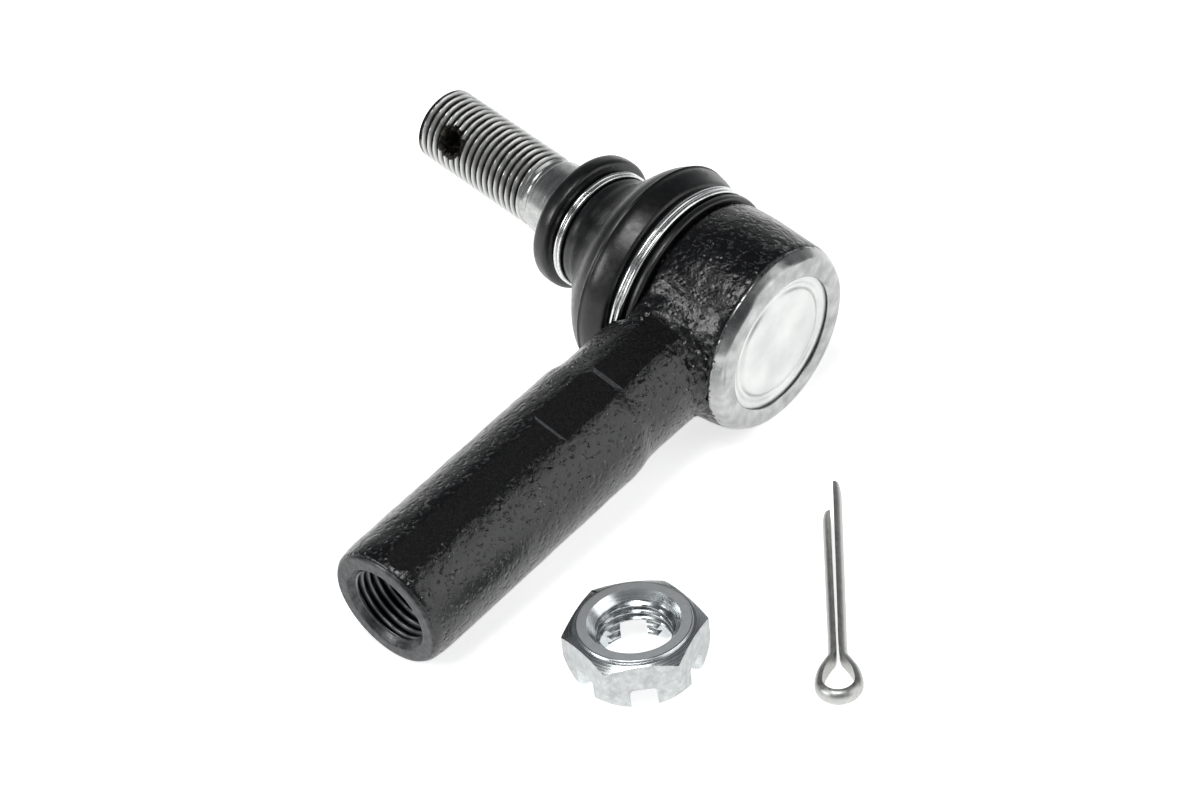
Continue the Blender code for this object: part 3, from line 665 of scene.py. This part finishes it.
class TIEROD_OT_housing(bpy.types.Operator):
    """Builds the forged housing: head, shank and flats"""

    bl_idname = "tie_rod_end.housing"
    bl_label = "Housing"

    def execute(self, context):
        sizes, colours = context.scene.tie_rod_end_sizes, context.scene.tie_rod_end_colours
        skin = sizes.skin / MM
        head = turned("housing_forging", self.head_outline(), SOCKET)
        combine(head, self.shank_blank(), "UNION")
        remesh(head, skin, 5)
        self.roughen(head, sizes.lump / MM)
        for outline in (self.facing_outline(), self.recess_outline()):
            combine(head, turned("facing", outline, SOCKET), "DIFFERENCE")
        for flat in FLATS:
            for side in (0, pi):
                combine(head, self.flat_tool(side, *flat), "DIFFERENCE")
        crisp(head, 50)
        for finish in (stoved_paint, planed_paint, scuffed_paint_with_painted_highlight):
            head.data.materials.append(finish(colours))
        self.paint_flats(head)
        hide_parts("housing")
        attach(head, "housing")
        return {"FINISHED"}

    def head_outline(self):
        """The head without its rim."""
        return rounded([
            (RIM_BACK - 0.25, 0),
            (RIM_BACK - 0.25, RIM_BACK_R - 0.2, 0.3),
            (RIM_BACK + 0.3, RIM_BACK_R + 0.2, 0.3),
            (-1.0, HEAD_MIDDLE_R, 3.0),
            (HEAD_TOP - 0.5, HEAD_TOP_R, 0.6),
            (HEAD_TOP + 0.1, HEAD_TOP_R - 0.6, 0.6),
            (HEAD_TOP + 0.1, 0),
        ])

    def facing_outline(self):
        """What the boot's side is cleared of, so that the shank's root stays round the boot."""
        return [(HEAD_TOP, 0), (HEAD_TOP, FACING_R), (COLLAR_TOP + 12, FACING_R + 0.4), (COLLAR_TOP + 12, 0)]

    def recess_outline(self):
        """What the closure plate's side is cleared of, inside the rim."""
        start, end, radius = RIM_FACE - 6, RIM_BACK - 0.3, RIM_BACK_R - 1
        return [(start, 0), (start, radius), (end, radius), (end, 0)]

    def shank_blank(self):
        """The shank with its root, its thinner neck, its barrel and its drilled bore."""
        outline = rounded([
            (5.0, 0),
            (5.0, 13.6),
            (12.5, 13.6, 2.0),
            (16.5, SHANK_NECK_R + 0.35, 6.0),
            (21.0, SHANK_NECK_R, 3.0),
            (31.0, SHANK_NECK_R, 2.0),
            (33.8, SHANK_R, 2.0),
            (SHANK_LENGTH - 3.2, SHANK_R, 1.5),
            (SHANK_LENGTH - 0.5, SHANK_END_R + 0.35, 0.8),
            (SHANK_LENGTH - 0.35, SHANK_END_R),
            (SHANK_LENGTH - 0.35, 0),
        ])
        shank = turned("shank_blank", outline, SHANK)
        bottom, above = SHANK_LENGTH - BORE_DEPTH, SHANK_LENGTH + 2
        drill = [(bottom - 3, 0), (bottom, BORE_DRILL_R), (above, BORE_DRILL_R), (above, 0)]
        combine(shank, turned("bore_tool", drill, SHANK), "DIFFERENCE")
        return shank

    def flat_tool(self, side, start, end, height, reach):
        """A bar with sloping ends and sides that planes one flat, on the upper or the lower side."""
        deep = 3
        ledge, draft = FLAT_LEDGE * deep, FLAT_DRAFT * deep
        corners = (
            (-end, height, reach),
            (-start, height, reach),
            (-start + draft, height + deep, reach + draft),
            (-end - ledge, height + deep, reach + draft),
        )
        points = [point for x, z, wide in corners for point in ((x, -wide, z), (x, wide, z))]
        bands = [(2 * i, 2 * i + 1, (2 * i + 3) % 8, (2 * i + 2) % 8) for i in range(4)]
        faces = [(0, 2, 4, 6), (1, 7, 5, 3)] + bands
        tool = object_of("flat_tool", points, faces, SOCKET @ Matrix.Rotation(FLAT_TURN + side, 4, "X"))
        facing_out(tool)
        return tool

    def roughen(self, head, lump):
        """Forging scale: long swells, short lumps, and wrinkles where the shank flows into the head."""
        points = coordinates(head.data)[0]
        across = np.hypot(points[:, 1], points[:, 2])
        near_end = np.clip((-points[:, 0] - SHANK_LENGTH + 3) / 2, 0, 1)
        swells, ripples, grit = (lumps(points, size, seed) for size, seed in ((5.0, 1), (1.7, 2), (0.9, 3)))
        amount = lump * (0.8 * swells + 0.45 * ripples + 0.35 * grit)
        root = np.exp(-((points[:, 0] + 17.5) / 2.6) ** 2) * np.clip(across / 12, 0, 1)
        stretched = points * np.array([1.0, 0.35, 0.35])
        wrinkles = -np.abs(lumps(stretched, 0.9, 4)) * 0.9 * root
        amount = (amount + wrinkles) * (1 - 0.8 * near_end)
        displace(head, amount)

    def paint_flats(self, head):
        """Gives the sheared flats their own finish, and the flats and their ledges a crisp outline."""
        turn = Matrix.Rotation(FLAT_TURN, 3, "X")
        outward = turn @ Vector((0, 0, 1))
        ledges = [(turn @ Vector((1, 0, side * FLAT_LEDGE))).normalized() for side in (1, -1)]
        round_flats, round_ledges = set(), set()
        for face in head.data.polygons:
            away = abs(face.center.dot(outward)) / MM
            if abs(face.normal.dot(outward)) > 0.9999 and any(abs(away - flat[2]) < 0.02 for flat in FLATS):
                face.material_index = 1
                round_flats ^= set(face.edge_keys)
            elif away > FLATS[0][2] - 0.1 and any(face.normal.dot(ledge) > 0.9999 for ledge in ledges):
                # Ledge faces take the paint with the painted highlight.
                face.material_index = 2
                round_ledges ^= set(face.edge_keys)
        outlines = round_flats | round_ledges
        for edge in head.data.edges:
            if edge.key in outlines:
                edge.use_edge_sharp = True


class TIEROD_OT_machined_faces(bpy.types.Operator):
    """Builds the housing's bare steel: the rolled rim, the end face, the thread and the boot's collar"""

    bl_idname = "tie_rod_end.machined_faces"
    bl_label = "Machined faces"

    def execute(self, context):
        colours = context.scene.tie_rod_end_colours
        rim = turned("rolled_rim", self.rim_outline(), SOCKET, rolled_rim_steel(), 192, self.rim_wander)
        end_finish = turned_steel("turned_end_face", "#343536", "#5c5d5e", 0.3, 0.45)
        face = turned("shank_end_face", self.end_outline(), SHANK, end_finish, 160)
        # The tapped thread's root tone #17181a is painted shade.
        tapped = thread_steel("tapped_thread_steel", BORE_THREAD_R, THREAD_DEPTH, "#77787a", "#17181a")
        thread = turned("shank_thread", self.thread_outline(), SHANK, tapped, 96, self.thread_shape)
        collar_finish = turned_steel("turned_collar", TURNED_TONE, tuple(colours.steel))
        collar = turned("boot_collar", self.collar_outline(), SOCKET, collar_finish, 96)
        for piece in (rim, face, thread, collar):
            crisp(piece, 40)
            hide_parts("housing")
            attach(piece, "housing")
        return {"FINISHED"}

    def rim_outline(self):
        """From the back of the rim over its cone and flat face and in over the plate's edge."""
        return divided(rounded([
            (RIM_BACK + 0.15, RIM_BACK_R - 1.5),
            (RIM_BACK + 0.15, RIM_BACK_R - 0.02, 0.2),
            (RIM_BACK - 0.3, RIM_BACK_R, 0.3),
            (RIM_FACE + 0.3, RIM_FACE_R + 0.15, 0.5),
            (RIM_FACE, RIM_FACE_R - 0.6, 0.6),
            (RIM_FACE - 0.05, RIM_LIP_R + 0.8, 0.5),
            (RIM_FACE + 0.35, RIM_LIP_R, 0.3),
            (PLATE_FACE - 0.12, RIM_LIP_R + 0.25, 0.2),
            (PLATE_FACE - 0.12, RIM_LIP_R + 2.0),
        ]), 0.35)

    def rim_wander(self, along, radius, angle):
        """The roller leaves the rim's edges slightly wavy."""
        place = Vector((cos(angle), sin(angle), 0)) * 3.2
        return radius + 0.05 * noise.noise(place) + 0.015 * noise.noise(place * 4)

    def end_outline(self):
        """The turned end of the barrel and the bore's chamfer."""
        return divided(rounded([
            (SHANK_LENGTH - 1.2, SHANK_END_R - 0.9),
            (SHANK_LENGTH - 0.45, SHANK_END_R + 0.12, 0.15),
            (SHANK_LENGTH, SHANK_END_R - 0.25, 0.25),
            (SHANK_LENGTH, BORE_MOUTH_R, 0.2),
            (SHANK_LENGTH - 1.3, BORE_THREAD_R - THREAD_DEPTH),
            (SHANK_LENGTH - 1.3, BORE_THREAD_R + 0.4),
        ]), 0.5)

    def thread_outline(self):
        """A sleeve whose inside is the thread, in the bore of the forging."""
        start, end = SHANK_LENGTH - BORE_DEPTH + 2, SHANK_LENGTH - 1.0
        inside = [(along, BORE_THREAD_R) for along in threaded(start, end)]
        return inside + [(end, BORE_THREAD_R + 0.5), (start, BORE_THREAD_R + 0.5)]

    def thread_shape(self, along, radius, angle):
        """Cuts the tapped thread, which fades out at both ends."""
        if radius > BORE_THREAD_R:
            return radius
        start, end = SHANK_LENGTH - BORE_DEPTH + 2, SHANK_LENGTH + 0.8
        return radius - thread_cut(along, angle, start, end)

    def collar_outline(self):
        """The collar that the boot grips, with the mouth that the stud swings in."""
        return rounded([
            (HEAD_TOP - 0.3, COLLAR_R - 4),
            (HEAD_TOP - 0.3, COLLAR_R),
            (COLLAR_TOP - 0.6, COLLAR_R, 0.3),
            (COLLAR_TOP, COLLAR_R - 0.6, 0.3),
            (COLLAR_TOP, 11.8, 0.3),
            (6.1, 9.9, 0.3),
            (5.6, 10.4),
        ])


class TIEROD_OT_closure_plate(bpy.types.Operator):
    """Builds the pressed plate that closes the socket"""

    bl_idname = "tie_rod_end.closure_plate"
    bl_label = "Closure plate"

    def execute(self, context):
        outline = divided(rounded([
            (PLATE_FACE + 1.0, 0),
            (PLATE_FACE + 1.0, PLATE_R),
            (PLATE_FACE, PLATE_R, 0.2),
            (PLATE_FACE, PLATE_GROOVE_R + 0.9, 0.5),
            (PLATE_FACE + 0.5, PLATE_GROOVE_R + 0.3, 0.3),
            (PLATE_FACE + 0.5, PLATE_GROOVE_R - 0.25, 0.3),
            (PLATE_FACE - 0.2, PLATE_GROOVE_R - 0.9, 0.6),
            (PLATE_FACE - 0.38, PLATE_GROOVE_R - 2.6, 1.2),
            (PLATE_FACE - 0.45, 0),
        ]), 0.6)
        finish = plated_pressing(context.scene.tie_rod_end_colours)
        plate = turned("closure_plate_pressing", outline, SOCKET, finish, 160)
        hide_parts("closure_plate")
        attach(plate, "housing")
        return {"FINISHED"}


class TIEROD_OT_ball_stud(bpy.types.Operator):
    """Builds the ball stud with its taper, rolled thread and cross hole"""

    bl_idname = "tie_rod_end.ball_stud"
    bl_label = "Ball stud"

    def execute(self, context):
        colours = context.scene.tie_rod_end_colours
        stud = turned("ball_stud_steel", self.outline(), STUD, None, 120, self.shape)
        combine(stud, self.hole_tool(), "DIFFERENCE")
        crisp(stud, 48)
        bright = tuple(colours.steel)
        # The rolled thread's root tone #292826 is painted shade.
        finishes = (turned_steel("turned_bare_steel", TURNED_TONE, bright),
                    thread_steel("rolled_thread_steel", THREAD_R, THREAD_DEPTH, "#292826", bright),
                    drilled_steel())
        for finish in finishes:
            stud.data.materials.append(finish)
        hole = Vector((-sin(HOLE_TURN), 0, cos(HOLE_TURN)))
        for face in stud.data.polygons:
            centre = face.center / MM
            from_hole = centre - Vector((0, STUD_LENGTH - HOLE_FROM_TIP, 0))
            in_hole = (from_hole - hole * from_hole.dot(hole)).length < HOLE_MOUTH_R + 0.05
            on_thread = STUD_THREAD_START - 0.2 < centre.y < STUD_LENGTH - 0.9
            # Faces in the cross hole take the brown-black finish painted as the hole's shade.
            face.material_index = 2 if in_hole else int(on_thread)
        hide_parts("ball_stud")
        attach(stud, "stud")
        return {"FINISHED"}

    def outline(self):
        """From the ball's flat over the ball, the neck, the taper and the thread to the tip."""
        neck = sqrt(BALL_R**2 - STUD_NECK_R**2)
        shank = rounded([
            (neck, STUD_NECK_R),
            (neck + 3.5, STUD_NECK_R, 2.0),
            (TAPER_START, TAPER_R, 1.5),
            (TAPER_END, TAPER_END_R, 0.4),
            (TAPER_END + 0.9, THREAD_ROOT - 0.05, 0.5),
            (STUD_THREAD_START - 0.7, THREAD_ROOT - 0.05, 0.4),
            (STUD_THREAD_START - 0.1, THREAD_R - 0.35),
        ])
        thread = [(along, THREAD_R) for along in threaded(STUD_THREAD_START, STUD_LENGTH - 0.75, 12)]
        tip = rounded([thread[-1], (STUD_LENGTH - 0.7, THREAD_R - 0.1),
                       (STUD_LENGTH, THREAD_ROOT - 0.1, 0.25), (STUD_LENGTH, 0)])
        return [(BALL_FLAT, 0)] + arc(BALL_R, BALL_FLAT, neck, 30) + shank + thread + tip[1:]

    def shape(self, along, radius, angle):
        """Cuts the thread, with a burr here and there on its crests."""
        if not STUD_THREAD_START <= along < STUD_LENGTH - 0.72:
            return radius
        place = Vector((cos(angle) * 3, sin(angle) * 3, along * 0.9))
        burr = 0.05 * noise.noise(place * 1.7) + 0.03 * noise.noise(place * 4)
        return radius + burr - thread_cut(along, angle, STUD_THREAD_START - 0.6, STUD_LENGTH + 0.4)

    def hole_tool(self):
        """A drill with a countersink at both ends."""
        reach, mouth = THREAD_R + 1, HOLE_MOUTH_R - HOLE_R
        outline = [(-reach, 0), (-reach, HOLE_MOUTH_R + 0.9), (-THREAD_R + mouth, HOLE_R),
                   (THREAD_R - mouth, HOLE_R), (reach, HOLE_MOUTH_R + 0.9), (reach, 0)]
        across = Matrix.Rotation(-HOLE_TURN, 4, "Y") @ Matrix.Rotation(radians(90), 4, "X")
        place = Matrix.Translation((0, (STUD_LENGTH - HOLE_FROM_TIP) * MM, 0))
        return turned("hole_tool", outline, STUD @ place @ across, None, 48)


class TIEROD_OT_dust_boot(bpy.types.Operator):
    """Builds the rubber boot, shaped to lean over towards the stud where it stands"""

    bl_idname = "tie_rod_end.dust_boot"
    bl_label = "Dust boot"

    def execute(self, context):
        outside, inside = self.outlines()
        segments, rings = 144, []
        for along, radius in outside + inside[::-1]:
            place = self.ring_frame(along)
            ring = []
            for i in range(segments):
                angle = 2 * pi * i / segments
                reach = radius + 0.06 * noise.noise(Vector((cos(angle) * 2, sin(angle) * 2, along * 0.3)))
                ring.append(place @ Vector((reach * cos(angle), 0, reach * sin(angle))))
            rings.append(ring)
        finish = moulded_rubber(context.scene.tie_rod_end_colours)
        boot = swept("dust_boot_rubber", rings, SOCKET, finish, caps=False)
        boot.data.transform(SOCKET)
        boot.matrix_world = Matrix()
        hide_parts("dust_boot")
        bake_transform(boot)
        return {"FINISHED"}

    def outlines(self):
        """Outside and inside, both from the base to the top."""
        seal = TAPER_R + 0.15
        outside = divided(rounded([
            (BOOT_START, 17.5),
            (BOOT_START, 19.1, 0.6),
            (BIG_RING_AT - 1.9, 19.2, 0.3),
            (BIG_RING_AT - 1.6, BOOT_GROOVE_R, 0.5),
            (BIG_RING_AT + 1.6, BOOT_GROOVE_R, 0.5),
            (BIG_RING_AT + 2.1, 19.5, 0.5),
            (13.4, 20.5, 1.2),
            (14.6, 20.35),
            (14.75, 20.6),
            (14.9, 20.28),
            (17.0, 19.5, 2.0),
            (25.4, 10.9, 3.6),
            (SMALL_RING_AT - 1.3, 11.0, 0.8),
            (SMALL_RING_AT - 1.0, 10.5, 0.4),
            (SMALL_RING_AT + 1.0, 10.5, 0.4),
            (SMALL_RING_AT + 1.6, 12.7, 0.8),
            (SMALL_RING_AT + 2.6, 12.95, 1.0),
            (BOOT_TOP - 0.5, 12.8, 1.2),
            (BOOT_TOP, 11.2, 0.8),
            (BOOT_TOP - 0.3, 9.2, 0.5),
            (BOOT_TOP - 0.1, seal + 0.1),
        ]), 0.45)
        inside = divided(rounded([
            (BOOT_START, COLLAR_R + 0.2),
            (11.0, COLLAR_R + 0.2, 0.5),
            (11.2, 17.6, 1.0),
            (13.6, 18.9, 2.0),
            (16.6, 18.0, 2.0),
            (23.0, 11.2, 2.0),
            (25.6, seal, 1.0),
            (BOOT_TOP - 0.6, seal),
        ]), 1.0)
        return outside, inside

    def ring_frame(self, along):
        """Frame of one ring: the socket's up to the large ring, the stud's from the neck on."""
        t = min(max((along - BIG_RING_AT - 2) / (SMALL_RING_AT - BIG_RING_AT - 6), 0), 1)
        share = t * t * (3 - 2 * t)
        leaning = SOCKET.inverted() @ STUD
        turn = Matrix().to_quaternion().slerp(leaning.to_quaternion(), share)
        straight, moved = Vector((0, along, 0)), leaning.to_3x3() @ Vector((0, along, 0))
        return Matrix.Translation(straight.lerp(moved, share)) @ turn.to_matrix().to_4x4()


class TIEROD_OT_clip_rings(bpy.types.Operator):
    """Builds the two spring rings that hold the boot"""

    bl_idname = "tie_rod_end.clip_rings"
    bl_label = "Clip rings"

    def execute(self, context):
        sizes, finish = context.scene.tie_rod_end_sizes, spring_wire()
        big = self.ring("large_clip_wire", BIG_RING_AT, BIG_RING_R, sizes.big_wire / MM, SOCKET, finish)
        small = self.ring("small_clip_wire", SMALL_RING_AT, SMALL_RING_R, sizes.small_wire / MM, STUD, finish)
        for piece, node, body in ((big, "large_clip_ring", "housing"), (small, "small_clip_ring", "tilt")):
            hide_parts(node)
            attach(piece, body)
        return {"FINISHED"}

    def ring(self, name, along, radius, wire, matrix, finish):
        """Two turns of round wire side by side, with tapered ends."""
        steps, sides = 120, 14
        last = RING_TURNS * steps
        around = [2 * pi * k / sides for k in range(sides)]
        rings = []
        for i in range(last + 1):
            angle = RING_ENDS_AT + 2 * pi * i / steps
            outward = Vector((cos(angle), 0, sin(angle)))
            drift = (2 * wire + 0.06) * (i / steps - RING_TURNS / 2) * 0.98
            centre = outward * radius + Vector((0, along + drift, 0))
            thick = wire * min(1.0, (min(i, last - i) + 1) / 3)
            rings.append([centre + thick * (outward * cos(a) + Vector((0, sin(a), 0))) for a in around])
        return swept(name, rings, matrix, finish)


class TIEROD_OT_castle_nut(bpy.types.Operator):
    """Builds the castle nut, washer face up"""

    bl_idname = "tie_rod_end.castle_nut"
    bl_label = "Castle nut"

    def execute(self, context):
        low, high = (Vector(corner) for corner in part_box("castle_nut"))
        height = (high.z - low.z) / MM
        centre = (low + high) / 2
        place = Matrix.Translation((centre.x, centre.y, low.z)) @ Matrix.Rotation(NUT_TURN, 4, "Z")
        upright = place @ Matrix.Rotation(radians(90), 4, "X")
        nut = self.hexagon(height, place)
        for number in range(3):
            turn = place @ Matrix.Rotation(radians(60 * number), 4, "Z")
            low_corner, high_corner = (-15, -NUT_SLOT_WIDTH / 2, -3), (15, NUT_SLOT_WIDTH / 2, NUT_SLOT_DEPTH)
            combine(nut, block("slot_tool", low_corner, high_corner, turn, 0.7), "DIFFERENCE")
        combine(nut, turned("nut_turning", self.turning(height), upright, None, 192), "INTERSECT")
        edge = nut.modifiers.new("broken edges", "BEVEL")
        edge.width, edge.segments, edge.limit_method, edge.angle_limit = 0.16 * MM, 2, "ANGLE", radians(34)
        apply_modifiers(nut)
        bore = turned("nut_bore", self.bore(height), upright, None, 120, self.bore_shape(height))
        combine(nut, bore, "DIFFERENCE")
        crisp(nut, 34)
        finishes = (zinc_on_forged(context.scene.tie_rod_end_colours), zinc_on_turned(),
                    zinc_on_turned("zinc_on_tapped_thread", "#8f9496", 0.16, 0.3),
                    zinc_on_turned("zinc_on_washer_face", "#dfe3e3", 0.46, 0.60))
        for finish in finishes:
            nut.data.materials.append(finish)
        self.choose_finishes(nut, height)
        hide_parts("castle_nut")
        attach(nut, "nut")
        return {"FINISHED"}

    def hexagon(self, height, place):
        """A hexagonal bar, longer than the nut at both ends."""
        corner = NUT_FLATS / sqrt(3)
        around = [radians(30 + 60 * i) for i in range(6)]
        rings = [[(corner * cos(a), corner * sin(a), z) for a in around] for z in (-1, height + 1)]
        return swept("castle_nut_zinc", rings, place)

    def turning(self, height):
        """The turned outside: rounded crown below, chamfered corners and washer face above."""
        corner = NUT_FLATS / sqrt(3) + 0.2
        shoulder = height - 0.55
        return rounded([
            (0, 0),
            (0, 9.5),
            (0.3, 10.3, 0.6),
            (2.4, 11.75, 2.4),
            (5.4, corner, 1.5),
            (shoulder - (corner - NUT_FLATS / 2) * tan(radians(31)), corner),
            (shoulder, NUT_FLATS / 2 - 0.35, 0.1),
            (shoulder + 0.02, NUT_FACE_R, 0.1),
            (height - 0.1, NUT_FACE_R, 0.12),
            (height, NUT_FACE_R - 0.2, 0.1),
            (height, 0),
        ], 8)

    def bore(self, height):
        """The bore with its countersink and the chamfered mouth above."""
        chamfer = NUT_MOUTH_R - THREAD_ROOT
        thread = [(along, THREAD_ROOT) for along in threaded(0.9, height - chamfer)]
        above = height + 0.4
        return [(-1, 0), (-1, THREAD_R + 1.3)] + thread + [(above, NUT_MOUTH_R + 0.4), (above, 0)]

    def bore_shape(self, height):
        """Cuts the thread, which fades out above."""
        start, end = -1.0, height - 1.0

        def shape(along, radius, angle):
            if abs(radius - THREAD_ROOT) > 1e-6:
                return radius
            return radius + THREAD_DEPTH - thread_cut(along, angle, start, end)

        return shape

    def choose_finishes(self, nut, height):
        """Gives each face the sides', the turned faces', the thread's or the washer face's finish."""
        for face in nut.data.polygons:
            x, y, z = face.center / MM
            across = sqrt(x * x + y * y)
            inside = across < NUT_MOUTH_R + 0.05 and z < height - 0.02
            chamfer = across > 9 and z > height - 3.5 and 0.3 < face.normal.z < 0.99
            if inside and (x * face.normal.x + y * face.normal.y) < 0:
                face.material_index = 2 if across < THREAD_R + 0.02 else 1
            elif z > height - 0.05 and face.normal.z > 0.99:
                face.material_index = 3
            elif chamfer or z > height - 0.7:
                face.material_index = 1


class TIEROD_OT_split_pin(bpy.types.Operator):
    """Builds the split pin, lying on its side"""

    bl_idname = "tie_rod_end.split_pin"
    bl_label = "Split pin"

    def execute(self, context):
        node = frame["nodes"]["split_pin"]
        along = Vector((cos(PIN_TURN), sin(PIN_TURN), 0))
        across = Vector((-sin(PIN_TURN), cos(PIN_TURN), 0))
        corners = [vertex.co for vertex in node.data.vertices]
        start = min(corner.dot(along) for corner in corners)
        sides = [corner.dot(across) for corner in corners if corner.dot(along) < start + 6 * MM]
        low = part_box("split_pin")[0]
        origin = along * start + across * (min(sides) + max(sides)) / 2 + Vector((0, 0, low[2]))
        place = Matrix.Translation(origin) @ Matrix.Rotation(PIN_TURN, 4, "Z")
        pin = swept("split_pin_wire", self.rings(), place, galvanised_wire(context.scene.tie_rod_end_colours))
        crisp(pin, 40)
        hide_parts("split_pin")
        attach(pin, "pin")
        return {"FINISHED"}

    def path(self):
        """Middle of the wire's flat side, from the short leg's tip round the eye to the long leg's tip."""
        gap, inner = PIN_GAP / 2, PIN_EYE_R - PIN_LEG
        neck, centre = PIN_EYE_LENGTH + 0.6, PIN_EYE_R
        arch = [radians(90 + 180 * i / 6) for i in range(7)]
        eye = [(centre + inner * cos(a), inner * sin(a)) for a in arch]
        points = [(PIN_SHORT_LEG, gap + 0.1), (38, gap + 0.08), (28, gap + 0.05), (20, gap + 0.02)]
        points += [(neck + 1.5, gap), (neck - 0.9, gap + 0.25), (neck - 2.2, gap + 0.95)]
        points += [(centre + 2.6, inner - 0.4), *eye, (centre + 2.6, -inner + 0.4)]
        points += [(neck - 2.2, -gap - 0.95), (neck - 0.9, -gap - 0.25), (neck + 1.5, -gap)]
        points += [(20, -gap - 0.03), (30, -gap - 0.07), (42, -gap - 0.11), (PIN_LONG_LEG, -gap - 0.15)]
        return smooth_path(points, 6)

    def rings(self):
        """Half-round rings along the path."""
        path, rings, sides = self.path(), [], 12
        for i, point in enumerate(path):
            forward = (path[min(i + 1, len(path) - 1)] - path[max(i - 1, 0)]).normalized()
            outward = Vector((forward.y, -forward.x))
            end = min(i, len(path) - 1 - i)
            trim = (0.78, 0.92)[end] if end < 2 else 1.0
            ring = []
            for k in range(sides + 1):
                angle = pi * k / sides
                spot = point + outward * (PIN_LEG * sin(angle) * trim)
                ring.append((spot.x, spot.y, PIN_R * (1 - trim * cos(angle))))
            rings.append(ring)
        return rings


class TIEROD_OT_inner_pieces(bpy.types.Operator):
    """Finishes the seats and the spring inside the socket"""

    bl_idname = "tie_rod_end.inner_pieces"
    bl_label = "Inner pieces"

    def execute(self, context):
        finishes = {
            "upper_seat": acetal("white_acetal_seat", "#dcdcd2", "#e8e8e0"),
            "pressure_cup": acetal("grey_acetal_cup", "#8d8f8e", "#a2a4a3"),
            "preload_spring": blued_spring(),
        }
        for node, finish in finishes.items():
            for slot in frame["nodes"][node].material_slots:
                slot.material = finish
        return {"FINISHED"}


class TIEROD_OT_stage(bpy.types.Operator):
    """Sets up the floor, the lights and the camera"""

    bl_idname = "tie_rod_end.stage"
    bl_label = "Stage"

    def execute(self, context):
        half = context.scene.tie_rod_end_sizes.floor / MM / 2
        corners = [(-half, -half, 0), (half, -half, 0), (half, half, 0), (-half, half, 0)]
        floor = object_of("floor", corners, [(0, 1, 2, 3)], None, lit_sheet())
        self.light_room(context.scene)
        self.place_camera(context.scene)
        return {"FINISHED"}

    def light_room(self, scene):
        """A grey tent with four bright soft boxes, so that paint and steel show both dark and light."""
        world = bpy.data.worlds.new("tent")
        scene.world = world
        world.use_nodes = True
        tree = world.node_tree
        where = add(tree, "TexCoord").outputs["Generated"]
        up = add(tree, "SeparateXYZ", inputs={0: where}).outputs[2]
        tone = mix_colour(tree, ramp(tree, up, 0.05, 0.6), "#c4c6c8", "#6a6c6f")
        tree.links.new(tone, tree.nodes["Background"].inputs["Color"])
        tree.nodes["Background"].inputs["Strength"].default_value = TENT_STRENGTH
        for soft_box in SOFT_BOXES:
            self.hang(scene, *soft_box)
        scene.view_settings.view_transform = "Standard"

    def hang(self, scene, name, place, size, power):
        """Hangs a square soft box and turns it to the ball."""
        light = bpy.data.lights.new(name, "AREA")
        light.shape, light.size, light.energy = "SQUARE", size, power
        made = bpy.data.objects.new(name, light)
        scene.collection.objects.link(made)
        made.location = Vector(place)
        made.rotation_euler = (BALL - made.location).to_track_quat("-Z", "Y").to_euler()

    def place_camera(self, scene):
        """Stands the camera off along its azimuth and elevation, and rolls it a little."""
        level, height = cos(VIEW_ELEVATION), sin(VIEW_ELEVATION)
        back = Vector((sin(VIEW_AZIMUTH) * level, -cos(VIEW_AZIMUTH) * level, height))
        data = bpy.data.cameras.new("camera")
        data.lens, data.sensor_width = VIEW_LENS, VIEW_SENSOR
        camera = bpy.data.objects.new("camera", data)
        scene.collection.objects.link(camera)
        place = Matrix.Translation(BALL + VIEW_AIM + back * VIEW_DISTANCE)
        turn = (-back).to_track_quat("-Z", "Y").to_matrix().to_4x4()
        camera.matrix_world = place @ turn @ Matrix.Rotation(VIEW_ROLL, 4, "Z")
        scene.camera = camera


PIECES = (
    TIEROD_OT_housing,
    TIEROD_OT_machined_faces,
    TIEROD_OT_closure_plate,
    TIEROD_OT_ball_stud,
    TIEROD_OT_dust_boot,
    TIEROD_OT_clip_rings,
    TIEROD_OT_castle_nut,
    TIEROD_OT_split_pin,
    TIEROD_OT_inner_pieces,
    TIEROD_OT_stage,
)


class TIEROD_PT_panel(bpy.types.Panel):
    """Lists the pieces and their settings"""

    bl_idname = "TIEROD_PT_panel"
    bl_label = "Tie Rod End"
    bl_space_type = "VIEW_3D"
    bl_region_type = "UI"
    bl_category = "Tie Rod End"

    def draw(self, context):
        for group in (context.scene.tie_rod_end_sizes, context.scene.tie_rod_end_colours):
            box = self.layout.box()
            for name in group.bl_rna.properties.keys():
                if name not in ("rna_type", "name"):
                    box.prop(group, name)
        for piece in PIECES:
            self.layout.operator(piece.bl_idname)


CLASSES = (TieRodEndSizes, TieRodEndColours, *PIECES, TIEROD_PT_panel)


def register():
    for made in CLASSES:
        bpy.utils.register_class(made)
    bpy.types.Scene.tie_rod_end_sizes = bpy.props.PointerProperty(type=TieRodEndSizes)
    bpy.types.Scene.tie_rod_end_colours = bpy.props.PointerProperty(type=TieRodEndColours)


def unregister():
    del bpy.types.Scene.tie_rod_end_colours
    del bpy.types.Scene.tie_rod_end_sizes
    for made in reversed(CLASSES):
        bpy.utils.unregister_class(made)


def main():
    register()
    for piece in PIECES:
        group, name = piece.bl_idname.split(".")
        getattr(getattr(bpy.ops, group), name)()


if __name__ == "__main__":
    main()
